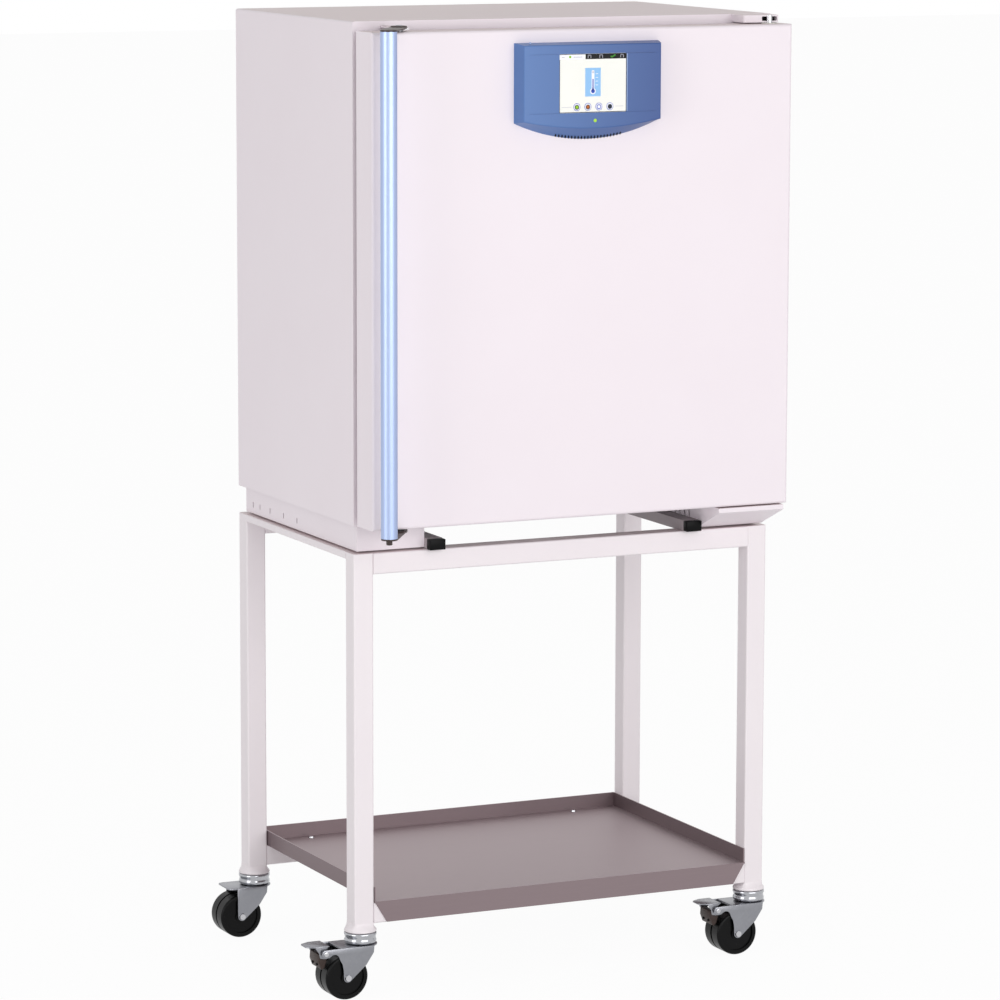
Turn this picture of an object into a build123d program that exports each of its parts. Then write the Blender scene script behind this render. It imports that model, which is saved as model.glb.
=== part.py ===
"""Laboratory incubator with a touch-panel door, standing on a wheeled tube stand.

Millimetres, +Z up, front towards -Y. The origin is on the floor, under the middle of the whole
object's box. Sizes below are given from the cabinet's own centre line and front face.
"""
import os

from build123d import *

os.makedirs("parts", exist_ok=True)

# Cabinet
casing_width = 760.0
casing_depth = 500.0
casing_height = 816.0
sheet = 2.0
casing_corner = 4.0
front_lip = 14.0
plinth_height = 47.0
rear_cover_depth = 15.0
rear_cover_inset = 32.0

# Chamber
chamber_width = 540.0
chamber_height = 530.0
chamber_depth = 390.0
liner_wall = 1.5
recess_margin = 30.0
recess_depth = 20.0
heater_thickness = 3.0
rear_space = 62.0

# Outer door
door_gap = 12.5
door_thickness = 62.5
door_side_inset = 1.0
door_top_inset = 14.5
door_bottom_inset = 1.5
door_edge_radius = 5.0
seal_half_width = 350.0
seal_end_margin = 26.0
seal_width = 16.0
seat_gap = 0.3

# Outer door's hinge
hinge_pin_diameter = 10.5
hinge_inboard = 27.0
hinge_behind_front = 32.0
running_clearance = 0.05
bush_diameter = 22.0
bush_depth = 14.0
hinge_face_gap = 1.5

# Handle
handle_diameter = 27.0
handle_wall = 2.5
handle_standoff = 50.0
handle_inboard = 7.3
handle_overhang = 3.9
lever_thickness = 3.0
lever_width = 26.0
pivot_right = 52.0
pivot_back = 78.0
pivot_diameter = 8.0
striker_pin_diameter = 6.0

# Control panel on the door
panel_base_width = 260.0
panel_front_width = 246.0
panel_depth = 25.0
panel_top_below_door = 21.5
panel_side_height = 129.0
panel_sag = 28.0
panel_front_sag = 12.0
screen_width = 121.0
screen_height = 95.0
screen_drop = 18.0
lens_diameter = 6.0

# Stand
caster_height = 108.0
stand_height = 632.0
tube = 35.0
tube_wall = 2.5
tube_corner = 3.0
side_rail_height = 12.0
tray_sheet = 2.0
tray_flange = 26.0
tray_front_flange = 36.0
lower_rail_base = 122.0

# Skids and runner tubes under the cabinet
skid_width = 120.0
skid_inset = 10.0
skid_ground_gap = 3.0
runner_width = 28.0
runner_height = 18.0
runner_wall = 2.0
cap_length = 14.0

# Casters
wheel_diameter = 75.0
wheel_width = 50.0
wheel_groove = 5.0
caster_trail = 34.0
ring_diameter = 54.0
ring_height = 13.0
race_margin = 1.0
fork_sheet = 2.5
fork_gap = 1.0
axle_diameter = 8.0
brake_pivot_left = 39.0
brake_pivot_up = 44.0
pedal_reach = 69.0
rivet_diameter = 5.0

# Shelves
shelf_rod = 3.0
shelf_frame_rod = 6.0
shelf_pitch = 30.0
shelf_free_travel = 15.0

# Heights and depths that follow from the sizes above
stand_top = caster_height + stand_height
casing_bottom = stand_top + plinth_height
casing_top = casing_bottom + casing_height
middle = casing_bottom + casing_height / 2
door_back = -door_gap
door_front = -door_gap - door_thickness
door_bottom = casing_bottom + door_bottom_inset
door_top = casing_top - door_top_inset
door_half = casing_width / 2 - door_side_inset
door_height = door_top - door_bottom
door_middle = (door_top + door_bottom) / 2
hinge_x = door_half - hinge_inboard
hinge_y = door_front + hinge_behind_front
handle_x = -door_half + handle_inboard
handle_y = door_front - handle_standoff
pivot_x = handle_x + pivot_right
pivot_y = handle_y + pivot_back
leg_centre_x = casing_width / 2 - tube / 2
leg_depths = (tube / 2, casing_depth - tube / 2)
recess_width = chamber_width + 2 * recess_margin
recess_height = chamber_height + 2 * recess_margin

# The whole object's box is centred on the origin in X and Y
left_reach = leg_centre_x + caster_trail + pedal_reach
right_reach = leg_centre_x + ring_diameter / 2 + race_margin
front_reach = -handle_y + handle_diameter / 2
rear_reach = casing_depth + rear_cover_depth
cabinet_x = (left_reach - right_reach) / 2
cabinet_y = (front_reach - rear_reach) / 2


def level(z, x=0.0, y=0.0):
    """A horizontal plane at height z, placed from the cabinet's centre line and front face."""
    return Plane(origin=(cabinet_x + x, cabinet_y + y, z), x_dir=(1, 0, 0), z_dir=(0, 0, 1))


def upright(y, x=0.0, z=0.0):
    """A plane that faces the viewer: its first axis is X, its second is Z."""
    return Plane(origin=(cabinet_x + x, cabinet_y + y, z), x_dir=(1, 0, 0), z_dir=(0, -1, 0))


def sideways(x, y=0.0, z=0.0):
    """A plane that faces right: its first axis is Y, its second is Z."""
    return Plane(origin=(cabinet_x + x, cabinet_y + y, z), x_dir=(0, 1, 0), z_dir=(1, 0, 0))


def save(builder, name):
    """Label a finished piece and write it as its own file."""
    builder.part.label = name
    export_step(builder.part, f"parts/{name}.step")


# Outer casing: one sheet over the top and sides, with a lip folded in round the front
with BuildPart() as outer_casing:
    with BuildSketch(upright(0, z=middle)):
        Rectangle(casing_width, casing_height)
        with Locations((0, -sheet)):
            Rectangle(casing_width - 2 * sheet, casing_height, mode=Mode.SUBTRACT)
    extrude(amount=-casing_depth)
    with BuildSketch(upright(0, z=middle)):
        Rectangle(casing_width, casing_height)
        Rectangle(casing_width - 2 * front_lip, casing_height - 2 * front_lip, mode=Mode.SUBTRACT)
    extrude(amount=-sheet)
    long_edges = outer_casing.edges().filter_by(Axis.Y).group_by(Axis.Z)[-1]
    fillet(long_edges, radius=casing_corner)
save(outer_casing, "outer_casing")

# Front frame: the painted face round the chamber, stepped back so that the glass door sits in it
with BuildPart() as front_frame:
    with BuildSketch(upright(0, z=middle)):
        Rectangle(casing_width - 2 * front_lip, casing_height - 2 * front_lip)
        Rectangle(recess_width, recess_height, mode=Mode.SUBTRACT)
    extrude(amount=-sheet)
    with BuildSketch(upright(0, z=middle)):
        Rectangle(recess_width + 2 * sheet, recess_height + 2 * sheet)
        Rectangle(recess_width, recess_height, mode=Mode.SUBTRACT)
    extrude(amount=-recess_depth)
    with BuildSketch(upright(recess_depth - sheet, z=middle)):
        Rectangle(recess_width, recess_height)
        Rectangle(chamber_width, chamber_height, mode=Mode.SUBTRACT)
    extrude(amount=-sheet)
save(front_frame, "front_frame")

# Chamber liner: a drawn stainless box, open at the front
with BuildPart() as chamber_liner:
    with BuildSketch(upright(recess_depth, z=middle)):
        Rectangle(chamber_width + 2 * liner_wall, chamber_height + 2 * liner_wall)
    extrude(amount=-(chamber_depth + liner_wall))
    with BuildSketch(upright(recess_depth, z=middle)):
        RectangleRounded(chamber_width, chamber_height, 8)
    extrude(amount=-chamber_depth, mode=Mode.SUBTRACT)
save(chamber_liner, "chamber_liner")

# Heater jacket: a flat element wrapped round the liner's four sides
with BuildPart() as heater_jacket:
    with BuildSketch(upright(recess_depth + 25, z=middle)):
        Rectangle(chamber_width + 2 * (liner_wall + heater_thickness),
                  chamber_height + 2 * (liner_wall + heater_thickness))
        Rectangle(chamber_width + 2 * liner_wall, chamber_height + 2 * liner_wall, mode=Mode.SUBTRACT)
    extrude(amount=-(chamber_depth - 50))
save(heater_jacket, "heater_jacket")

# Insulation: a block that fills the space between liner and casing
insulation_front = recess_depth
insulation_back = casing_depth - rear_space
with BuildPart() as cabinet_insulation:
    with BuildSketch(upright(insulation_front, z=middle)):
        Rectangle(casing_width - 2 * sheet, casing_height - 2 * sheet)
    extrude(amount=-(insulation_back - insulation_front))
    jacket_cut = 2 * (liner_wall + heater_thickness)
    with BuildSketch(upright(insulation_front, z=middle)):
        Rectangle(chamber_width + jacket_cut, chamber_height + jacket_cut)
    extrude(amount=-(chamber_depth + liner_wall), mode=Mode.SUBTRACT)
save(cabinet_insulation, "cabinet_insulation")

# Chamber gasket: the silicone ring that the glass door closes on
gasket_ring = 9.0
gasket_depth = 6.0
gasket_gap = 3.0
gasket_inner_width = chamber_width + 2 * gasket_gap
gasket_inner_height = chamber_height + 2 * gasket_gap
with BuildPart() as chamber_gasket:
    with BuildSketch(upright(recess_depth - sheet, z=middle)):
        RectangleRounded(gasket_inner_width + 2 * gasket_ring, gasket_inner_height + 2 * gasket_ring, 12)
        RectangleRounded(gasket_inner_width, gasket_inner_height, 6, mode=Mode.SUBTRACT)
    extrude(amount=gasket_depth)
    front_edges = chamber_gasket.faces().sort_by(Axis.Y)[0].edges()
    chamfer(front_edges, length=1.5)
save(chamber_gasket, "chamber_gasket")

# Bottom plate of the cabinet
with BuildPart() as bottom_plate:
    with BuildSketch(level(casing_bottom, y=casing_depth / 2 + sheet / 2)):
        Rectangle(casing_width - 2 * sheet, casing_depth - sheet)
    extrude(amount=sheet)
save(bottom_plate, "bottom_plate")

# Rear cover: a shallow pressed pan with louvre slots, and openings for the mains inlet
cover_width = casing_width - 2 * rear_cover_inset
cover_height = casing_height - 2 * rear_cover_inset
inlet_x = -230.0
inlet_z = casing_bottom + 92.0
inlet_width = 30.0
inlet_height = 22.0
with BuildPart() as rear_cover:
    with BuildSketch(upright(casing_depth, z=middle)):
        Rectangle(casing_width - 2 * sheet, casing_height - 2 * sheet)
    extrude(amount=sheet)
    with BuildSketch(upright(casing_depth, z=middle)):
        RectangleRounded(cover_width, cover_height, 12)
    extrude(amount=-rear_cover_depth, taper=20)
    with BuildSketch(upright(casing_depth - sheet, z=middle)):
        RectangleRounded(cover_width - 4 * sheet, cover_height - 4 * sheet, 8)
    extrude(amount=-rear_cover_depth, taper=20, mode=Mode.SUBTRACT)
    with BuildSketch(upright(casing_depth + rear_cover_depth, z=middle)):
        for bank in (-1, 1):
            with Locations((bank * cover_width / 4, cover_height / 2 - 120)):
                with GridLocations(0, 14, 1, 9):
                    SlotOverall(180, 5)
        with Locations((inlet_x, inlet_z - middle)):
            Rectangle(inlet_width, inlet_height)
    extrude(amount=3 * sheet, mode=Mode.SUBTRACT)
save(rear_cover, "rear_cover")

# Mains inlet: a moulded socket body held in the rear cover, with three blades
with BuildPart() as mains_inlet:
    inlet_back = casing_depth + rear_cover_depth
    with BuildSketch(upright(inlet_back, x=inlet_x, z=inlet_z)):
        Rectangle(inlet_width, inlet_height)
    extrude(amount=26)
    with BuildSketch(upright(inlet_back, x=inlet_x, z=inlet_z)):
        Rectangle(24, 16)
        chamfer_corners = [vertex for vertex in vertices() if vertex.Y > 0]
        chamfer(chamfer_corners, length=4)
    extrude(amount=16, mode=Mode.SUBTRACT)
    with BuildSketch(upright(inlet_back, x=inlet_x, z=inlet_z)):
        with Locations((-7, -2), (0, 3), (7, -2)):
            Rectangle(2, 4)
    extrude(amount=17)
    with BuildSketch(upright(inlet_back, x=inlet_x, z=inlet_z)):
        with Locations((-7, -2), (0, 3), (7, -2)):
            Rectangle(2.2, 4.2)
    extrude(amount=2, mode=Mode.SUBTRACT)
save(mains_inlet, "mains_inlet")

# Power module: the control box in the rear space, on four spacers against the insulation
module_width = 320.0
module_height = 200.0
module_depth = 42.0
module_z = middle - 210.0
with BuildPart() as power_module:
    with BuildSketch(upright(insulation_back, z=module_z)):
        RectangleRounded(module_width, module_height, 6)
    extrude(amount=-module_depth)
    with BuildSketch(upright(insulation_back + module_depth, z=module_z)):
        with GridLocations(0, 14, 1, 11):
            Rectangle(module_width - 60, 5)
    extrude(amount=-10)
save(power_module, "power_module")


def skid_slots(slot_depths, slot_height, slot_width, slot_z):
    """Draw a row of upright slots at the listed depths."""
    for depth in slot_depths:
        with Locations((depth, slot_z)):
            Rectangle(slot_width, slot_height)


# Skids: two folded sheet boxes that carry the cabinet
skid_bottom = stand_top + skid_ground_gap
skid_height = casing_bottom - skid_bottom
skid_outer = casing_width / 2 - skid_inset
skid_inner = skid_outer - skid_width
skid_length = casing_depth - 2 * skid_inset
outer_slots = (264.0, 323.0, 383.0, 428.0, 458.0)
inner_slots = tuple(33.0 + 17.0 * step for step in range(7))
for hand, side in ((-1, "left"), (1, "right")):
    with BuildPart() as skid:
        with BuildSketch(level(skid_bottom, x=hand * (skid_outer + skid_inner) / 2, y=casing_depth / 2)):
            Rectangle(skid_width, skid_length)
        extrude(amount=skid_height)
        with BuildSketch(level(skid_bottom + sheet, x=hand * (skid_outer + skid_inner) / 2,
                               y=casing_depth / 2)):
            Rectangle(skid_width - 2 * sheet, skid_length - 2 * sheet)
        extrude(amount=skid_height, mode=Mode.SUBTRACT)
        with BuildSketch(sideways(hand * skid_outer - hand * 2 * sheet, z=skid_bottom)):
            skid_slots(outer_slots, 9, 3.5, 15)
        extrude(amount=hand * 3 * sheet, mode=Mode.SUBTRACT)
        with BuildSketch(sideways(hand * skid_inner - hand * sheet, z=skid_bottom)):
            skid_slots(inner_slots, 14, 5, 22)
        extrude(amount=hand * 3 * sheet, mode=Mode.SUBTRACT)
    save(skid, f"{side}_skid")

# Runner tubes: one inboard of each skid, resting on the stand's rails, with a cap at the front
runner_x = skid_inner - runner_width / 2
runner_front = 0.0
runner_back = casing_depth - skid_inset
with BuildPart() as runner_tubes:
    for hand in (-1, 1):
        with BuildSketch(upright(runner_front, x=hand * runner_x, z=stand_top + runner_height / 2)):
            Rectangle(runner_width, runner_height)
            Rectangle(runner_width - 2 * runner_wall, runner_height - 2 * runner_wall, mode=Mode.SUBTRACT)
        extrude(amount=-(runner_back - runner_front))
save(runner_tubes, "runner_tubes")

with BuildPart() as runner_caps:
    for hand in (-1, 1):
        with BuildSketch(upright(runner_front, x=hand * runner_x, z=stand_top + runner_height / 2)):
            Rectangle(runner_width, runner_height)
        extrude(amount=cap_length, taper=3)
        with BuildSketch(upright(runner_front, x=hand * runner_x, z=stand_top + runner_height / 2)):
            Rectangle(runner_width - 2 * runner_wall, runner_height - 2 * runner_wall)
        extrude(amount=-12)
save(runner_caps, "runner_caps")

# Shelf racks: an upright strip at each corner of the chamber, joined by ledges
rack_depth_front = recess_depth + 30.0
rack_depth_back = recess_depth + chamber_depth - 30.0
rack_ledge = 12.0
rack_wall = 1.5
shelf_heights = (-130.0, 40.0)
half_chamber = chamber_width / 2
with BuildPart() as shelf_racks:
    for hand in (-1, 1):
        for depth in (rack_depth_front, rack_depth_back):
            with BuildSketch(level(middle, x=hand * (half_chamber - rack_wall / 2), y=depth)):
                Rectangle(rack_wall, 18)
            extrude(amount=(chamber_height - 60) / 2, both=True)
        for height in shelf_heights:
            rack_length = rack_depth_back - rack_depth_front
            with BuildSketch(level(middle + height, x=hand * (half_chamber - rack_ledge / 2),
                                   y=(rack_depth_front + rack_depth_back) / 2)):
                Rectangle(rack_ledge, rack_length)
            extrude(amount=-rack_wall)
save(shelf_racks, "shelf_racks")

# Wire shelves: a rod frame with cross rods, lying on the racks' ledges
shelf_side_gap = 4.0
shelf_half = half_chamber - rack_wall - shelf_side_gap
shelf_front = recess_depth + shelf_free_travel + 2
shelf_back = recess_depth + chamber_depth - 6
shelf_length = shelf_back - shelf_front
for height, name in zip(shelf_heights, ("lower_shelf", "upper_shelf")):
    rod_level = middle + height + seat_gap + shelf_frame_rod / 2
    with BuildPart() as shelf:
        with BuildSketch(level(rod_level, y=(shelf_front + shelf_back) / 2)):
            Rectangle(2 * shelf_half, shelf_length)
            Rectangle(2 * (shelf_half - shelf_frame_rod), shelf_length - 2 * shelf_frame_rod,
                      mode=Mode.SUBTRACT)
        extrude(amount=shelf_frame_rod / 2, both=True)
        rod_count = int(2 * shelf_half / shelf_pitch)
        with BuildSketch(level(rod_level, y=(shelf_front + shelf_back) / 2)):
            with GridLocations(shelf_pitch, 0, rod_count, 1):
                Rectangle(shelf_rod, shelf_length - shelf_frame_rod)
        extrude(amount=shelf_rod / 2, both=True)
    save(shelf, name)

# Sensor probe: a thin stem with a guard, from the chamber's back wall
with BuildPart() as sensor_probe:
    with BuildSketch(upright(recess_depth + chamber_depth, x=200, z=middle + 170)):
        Circle(10)
    extrude(amount=4)
    with BuildSketch(upright(recess_depth + chamber_depth, x=200, z=middle + 170)):
        Circle(3)
    extrude(amount=70)
    fillet(sensor_probe.faces().sort_by(Axis.Y)[0].edges(), radius=2.5)
save(sensor_probe, "sensor_probe")

# Upper hinge block: bolted to the cabinet's front face, with a window in which the pin shows
block_clear = 2.0
face_step = 0.5
block_bottom = door_top + block_clear
block_top = casing_top - face_step
block_inboard = 48.0
block_outboard = 18.0
block_inner = hinge_x - block_inboard
block_outer = hinge_x + block_outboard
block_front = hinge_y - 1.0
window_width = 28.0
window_height = 7.5
with BuildPart() as upper_hinge_block:
    with BuildSketch(upright(0, x=(block_inner + block_outer) / 2, z=(block_bottom + block_top) / 2)):
        Rectangle(block_outer - block_inner, block_top - block_bottom)
    extrude(amount=-block_front)
    front_uprights = upper_hinge_block.edges().filter_by(Axis.Z).group_by(Axis.Y)[0]
    fillet(front_uprights, radius=4)
    with BuildSketch(upright(block_front, x=hinge_x, z=(block_bottom + block_top) / 2)):
        RectangleRounded(window_width, window_height, 2)
    extrude(amount=-9, mode=Mode.SUBTRACT)
    with BuildSketch(level(block_bottom, x=hinge_x, y=hinge_y)):
        Circle(hinge_pin_diameter / 2)
    extrude(amount=block_top - block_bottom, mode=Mode.SUBTRACT)
save(upper_hinge_block, "upper_hinge_block")

# Lower hinge bracket: a wedge that carries the door, from the skid's front under the door
bracket_inner = 250.0
bracket_outer = 372.0
bracket_top = casing_bottom - face_step
bracket_hole = 8.0
pin_tip_gap = 1.0
lip_height = 9.5
with BuildPart() as lower_hinge_bracket:
    with BuildSketch(sideways(bracket_inner)):
        with BuildLine():
            Polyline((door_front, bracket_top), (skid_inset, bracket_top), (skid_inset, stand_top + 4),
                     (skid_inset - 6, stand_top + 4), (door_front + 3, bracket_top - lip_height),
                     (door_front, bracket_top - lip_height + 2), close=True)
        make_face()
    extrude(amount=bracket_outer - bracket_inner)
    slope = lower_hinge_bracket.faces().filter_by(Axis.X)
    fillet(slope.edges().group_by(Axis.Z)[0], radius=1.0)
    with BuildSketch(level(bracket_top - bracket_hole, x=hinge_x, y=hinge_y)):
        Circle(hinge_pin_diameter / 2)
    extrude(amount=bracket_hole, mode=Mode.SUBTRACT)
save(lower_hinge_bracket, "lower_hinge_bracket")

# Hinge pins: one hangs from the block, one stands on the bracket
with BuildPart() as hinge_pins:
    upper_tip = door_top - bush_depth + pin_tip_gap
    with BuildSketch(level(upper_tip, x=hinge_x, y=hinge_y)):
        Circle(hinge_pin_diameter / 2)
    extrude(amount=block_top - upper_tip)
    with BuildSketch(level(bracket_top - bracket_hole, x=hinge_x, y=hinge_y)):
        Circle(hinge_pin_diameter / 2)
    extrude(amount=door_bottom + bush_depth - pin_tip_gap - (bracket_top - bracket_hole))
save(hinge_pins, "hinge_pins")

# Strikers: a plate on the cabinet's face with a tab and a pin, one above and one below
lever_upper = door_top + handle_overhang
lever_lower = door_bottom - handle_overhang
striker_x = pivot_x + 4.0
striker_y = -9.0
striker_plate = 2.5
tab_level_upper = lever_upper - 1.0
tab_level_lower = lever_lower + 1.0
with BuildPart() as latch_strikers:
    for tab_level, up, lever_level in ((tab_level_upper, 1, lever_upper), (tab_level_lower, -1, lever_lower)):
        with BuildSketch(upright(0, x=striker_x + 17, z=tab_level - up * 8)):
            Rectangle(24, 16)
        extrude(amount=striker_plate)
        with BuildSketch(level(tab_level, x=striker_x + 12, y=striker_y + 2.0)):
            Rectangle(34, 10)
        extrude(amount=-up * striker_plate)
        with BuildSketch(level(tab_level, x=striker_x + 17, y=striker_y / 2)):
            Rectangle(24, -striker_y)
        extrude(amount=-up * striker_plate)
        with BuildSketch(level(tab_level - up * striker_plate, x=striker_x, y=striker_y)):
            Circle(striker_pin_diameter / 2)
        extrude(amount=up * (striker_plate + 1.0 + lever_thickness))
save(latch_strikers, "latch_strikers")

# Door shell: a folded pan, open at the back
with BuildPart() as door_shell:
    with BuildSketch(upright(door_back, z=door_middle)):
        Rectangle(2 * door_half, door_height)
    extrude(amount=door_thickness)
    front_face = door_shell.faces().sort_by(Axis.Y)[0]
    fillet(front_face.edges(), radius=door_edge_radius)
    back_face = door_shell.faces().sort_by(Axis.Y)[-1]
    offset(amount=-sheet, openings=back_face)
    with BuildSketch(level(door_bottom, x=hinge_x, y=hinge_y)):
        Circle(bush_diameter / 2)
    extrude(amount=door_height, mode=Mode.SUBTRACT)
    with BuildSketch(level(door_bottom, x=pivot_x, y=pivot_y)):
        Circle(pivot_diameter / 2)
    extrude(amount=door_height, mode=Mode.SUBTRACT)
save(door_shell, "door_shell")

# Door's inner panel: closes the pan, with a raised pressing towards the chamber
with BuildPart() as door_inner_panel:
    with BuildSketch(upright(door_back, z=door_middle)):
        Rectangle(2 * (door_half - sheet), door_height - 2 * sheet)
    extrude(amount=sheet)
    with BuildSketch(upright(door_back, z=middle)):
        RectangleRounded(chamber_width - 60, chamber_height - 60, 20)
    extrude(amount=-3, taper=30)
save(door_inner_panel, "door_inner_panel")

# Door insulation: a foam block that fills the pan
with BuildPart() as door_insulation:
    with BuildSketch(upright(door_back - sheet, z=door_middle)):
        Rectangle(2 * (door_half - sheet), door_height - 2 * sheet)
    extrude(amount=door_thickness - 2 * sheet)
    foam_front = door_insulation.faces().sort_by(Axis.Y)[0]
    fillet(foam_front.edges(), radius=door_edge_radius - sheet)
    for reach_from in (door_bottom + sheet, door_top - sheet - bush_depth):
        with BuildSketch(level(reach_from, x=hinge_x, y=hinge_y)):
            Circle(bush_diameter / 2)
        extrude(amount=bush_depth, mode=Mode.SUBTRACT)
        with BuildSketch(level(reach_from, x=pivot_x, y=pivot_y)):
            Circle(pivot_diameter / 2)
        extrude(amount=bush_depth, mode=Mode.SUBTRACT)
save(door_insulation, "door_insulation")

# Door seal: the soft ring that closes on the cabinet's face
seal_half_height = door_height / 2 - seal_end_margin
with BuildPart() as door_seal:
    with BuildSketch(upright(door_back, z=door_middle)):
        RectangleRounded(2 * seal_half_width, 2 * seal_half_height, 20)
        RectangleRounded(2 * (seal_half_width - seal_width), 2 * (seal_half_height - seal_width), 6,
                         mode=Mode.SUBTRACT)
    extrude(amount=-(door_gap - seat_gap))
    seal_face = door_seal.faces().sort_by(Axis.Y)[-1]
    chamfer(seal_face.edges(), length=3)
save(door_seal, "door_seal")

# Hinge bushes: flanged sleeves in the door's top and bottom
with BuildPart() as hinge_bushes:
    for face, up in ((door_top, 1), (door_bottom, -1)):
        with BuildSketch(level(face, x=hinge_x, y=hinge_y)):
            Circle(bush_diameter / 2)
            Circle(hinge_pin_diameter / 2 + running_clearance, mode=Mode.SUBTRACT)
        extrude(amount=-up * bush_depth)
        with BuildSketch(level(face, x=hinge_x, y=hinge_y)):
            Circle(bush_diameter / 2 + 3)
            Circle(hinge_pin_diameter / 2 + running_clearance, mode=Mode.SUBTRACT)
        extrude(amount=up * hinge_face_gap)
save(hinge_bushes, "hinge_bushes")

# Lever screws: shouldered screws in the door, on spacers, on which the handle's levers turn
screw_head = 12.0
screw_head_height = 2.6
with BuildPart() as lever_screws:
    for face, up in ((door_top, 1), (door_bottom, -1)):
        with BuildSketch(level(face - up * bush_depth, x=pivot_x, y=pivot_y)):
            Circle(pivot_diameter / 2)
        extrude(amount=up * (bush_depth + handle_overhang + lever_thickness + seat_gap))
        with BuildSketch(level(face, x=pivot_x, y=pivot_y)):
            Circle(screw_head / 2 + 1)
        extrude(amount=up * (handle_overhang - seat_gap))
        with BuildSketch(level(face + up * (handle_overhang + lever_thickness + seat_gap),
                               x=pivot_x, y=pivot_y)):
            Circle(screw_head / 2)
        extrude(amount=up * screw_head_height, taper=20)
save(lever_screws, "lever_screws")

# Handle bar: a full-height tube
bar_bottom = lever_lower
bar_top = lever_upper
with BuildPart() as handle_bar:
    with BuildSketch(level(bar_bottom, x=handle_x, y=handle_y)):
        Circle(handle_diameter / 2)
        Circle(handle_diameter / 2 - handle_wall, mode=Mode.SUBTRACT)
    extrude(amount=bar_top - bar_bottom)
save(handle_bar, "handle_bar")

# Handle plugs: a turned plug in each end of the bar; the lower one ends in a stud
plug_length = 20.0
stud_diameter = 10.0
stud_length = 8.0
with BuildPart() as handle_plugs:
    for end, up in ((bar_top, 1), (bar_bottom, -1)):
        with BuildSketch(level(end, x=handle_x, y=handle_y)):
            Circle(handle_diameter / 2 - handle_wall)
        extrude(amount=-up * plug_length)
    with BuildSketch(level(bar_bottom - lever_thickness, x=handle_x, y=handle_y)):
        Circle(stud_diameter / 2)
    extrude(amount=-stud_length)
    fillet(handle_plugs.faces().sort_by(Axis.Z)[0].edges(), radius=1.5)
save(handle_plugs, "handle_plugs")

# Levers: flat plates that join the bar to its pivots and hook behind the strikers
hook_thickness = 4.5
hook_side = 10.0
with BuildPart() as handle_levers:
    for base in (bar_top, bar_bottom - lever_thickness):
        with BuildSketch(level(base)):
            with Locations((handle_x, handle_y), (pivot_x, pivot_y)):
                Circle(lever_width / 2)
            lever_reach = Vector(pivot_right, pivot_back)
            lever_turn = Vector(1, 0).get_angle(lever_reach)
            with Locations(Location(((handle_x + pivot_x) / 2, (handle_y + pivot_y) / 2), lever_turn)):
                Rectangle(lever_reach.length, lever_width)
            hook_back = striker_y + striker_pin_diameter / 2 + 0.6 + hook_thickness
            hook_left = striker_x - striker_pin_diameter / 2 - 2.5 - hook_side
            with Locations((hook_left + hook_side / 2, (pivot_y + hook_back) / 2)):
                Rectangle(hook_side, hook_back - pivot_y)
            with Locations(((hook_left + striker_x + 3) / 2, hook_back - hook_thickness / 2)):
                Rectangle(striker_x + 3 - hook_left, hook_thickness)
            with Locations((pivot_x, pivot_y)):
                Circle(pivot_diameter / 2 + running_clearance, mode=Mode.SUBTRACT)
        extrude(amount=lever_thickness)
save(handle_levers, "handle_levers")

# Panel housing: a moulded bulge with a bowed lower edge, on the door's front
panel_top = door_top - panel_top_below_door
panel_front = door_front - panel_depth
panel_top_slope = 3.0
screen_middle = panel_top - screen_drop - screen_height / 2
base_outline = (door_front, panel_base_width, panel_top, panel_side_height, panel_sag)
front_outline = (panel_front, panel_front_width, panel_top - panel_top_slope,
                 panel_side_height - 2 * panel_top_slope, panel_front_sag)
with BuildPart() as panel_housing:
    for depth, width, top, side_height, sag in (base_outline, front_outline):
        with BuildSketch(upright(depth)):
            with BuildLine():
                Line((-width / 2, top), (width / 2, top))
                Line((width / 2, top), (width / 2, top - side_height))
                ThreePointArc((width / 2, top - side_height), (0, top - side_height - sag),
                              (-width / 2, top - side_height))
                Line((-width / 2, top - side_height), (-width / 2, top))
            make_face()
    loft()
    moulded_edges = panel_housing.faces().sort_by(Axis.Y)[0].edges()
    fillet(moulded_edges, radius=2.5)
    with BuildSketch(upright(panel_front, z=screen_middle)):
        RectangleRounded(screen_width + 2 * running_clearance, screen_height + 2 * running_clearance, 1.5)
    extrude(amount=-6, mode=Mode.SUBTRACT)
    with BuildSketch(upright(panel_front)):
        groove_run = (panel_front_width - screen_width) / 2 - 12
        for hand in (-1, 1):
            for groove_z in (screen_middle + screen_height / 2, screen_middle - screen_height / 2):
                with Locations((hand * (screen_width / 2 + groove_run / 2 + 2), groove_z)):
                    Rectangle(groove_run, 1.2)
    extrude(amount=-0.8, mode=Mode.SUBTRACT)
    lens_z = screen_middle - screen_height / 2 - 13
    with BuildSketch(upright(panel_front, x=4, z=lens_z)):
        Circle(lens_diameter / 2)
    extrude(amount=-4, mode=Mode.SUBTRACT)
save(panel_housing, "panel_housing")

# Touch screen: a bonded glass in the housing's recess
with BuildPart() as touch_screen:
    with BuildSketch(upright(panel_front + 6, z=screen_middle)):
        RectangleRounded(screen_width, screen_height, 1.5)
    extrude(amount=5)
save(touch_screen, "touch_screen")

# Status lens: a clear light pipe below the screen
with BuildPart() as status_lens:
    with BuildSketch(upright(panel_front + 4, x=4, z=lens_z)):
        Circle(lens_diameter / 2 - running_clearance)
    extrude(amount=4.4)
    fillet(status_lens.faces().sort_by(Axis.Y)[0].edges(), radius=0.8)
save(status_lens, "status_lens")

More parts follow.
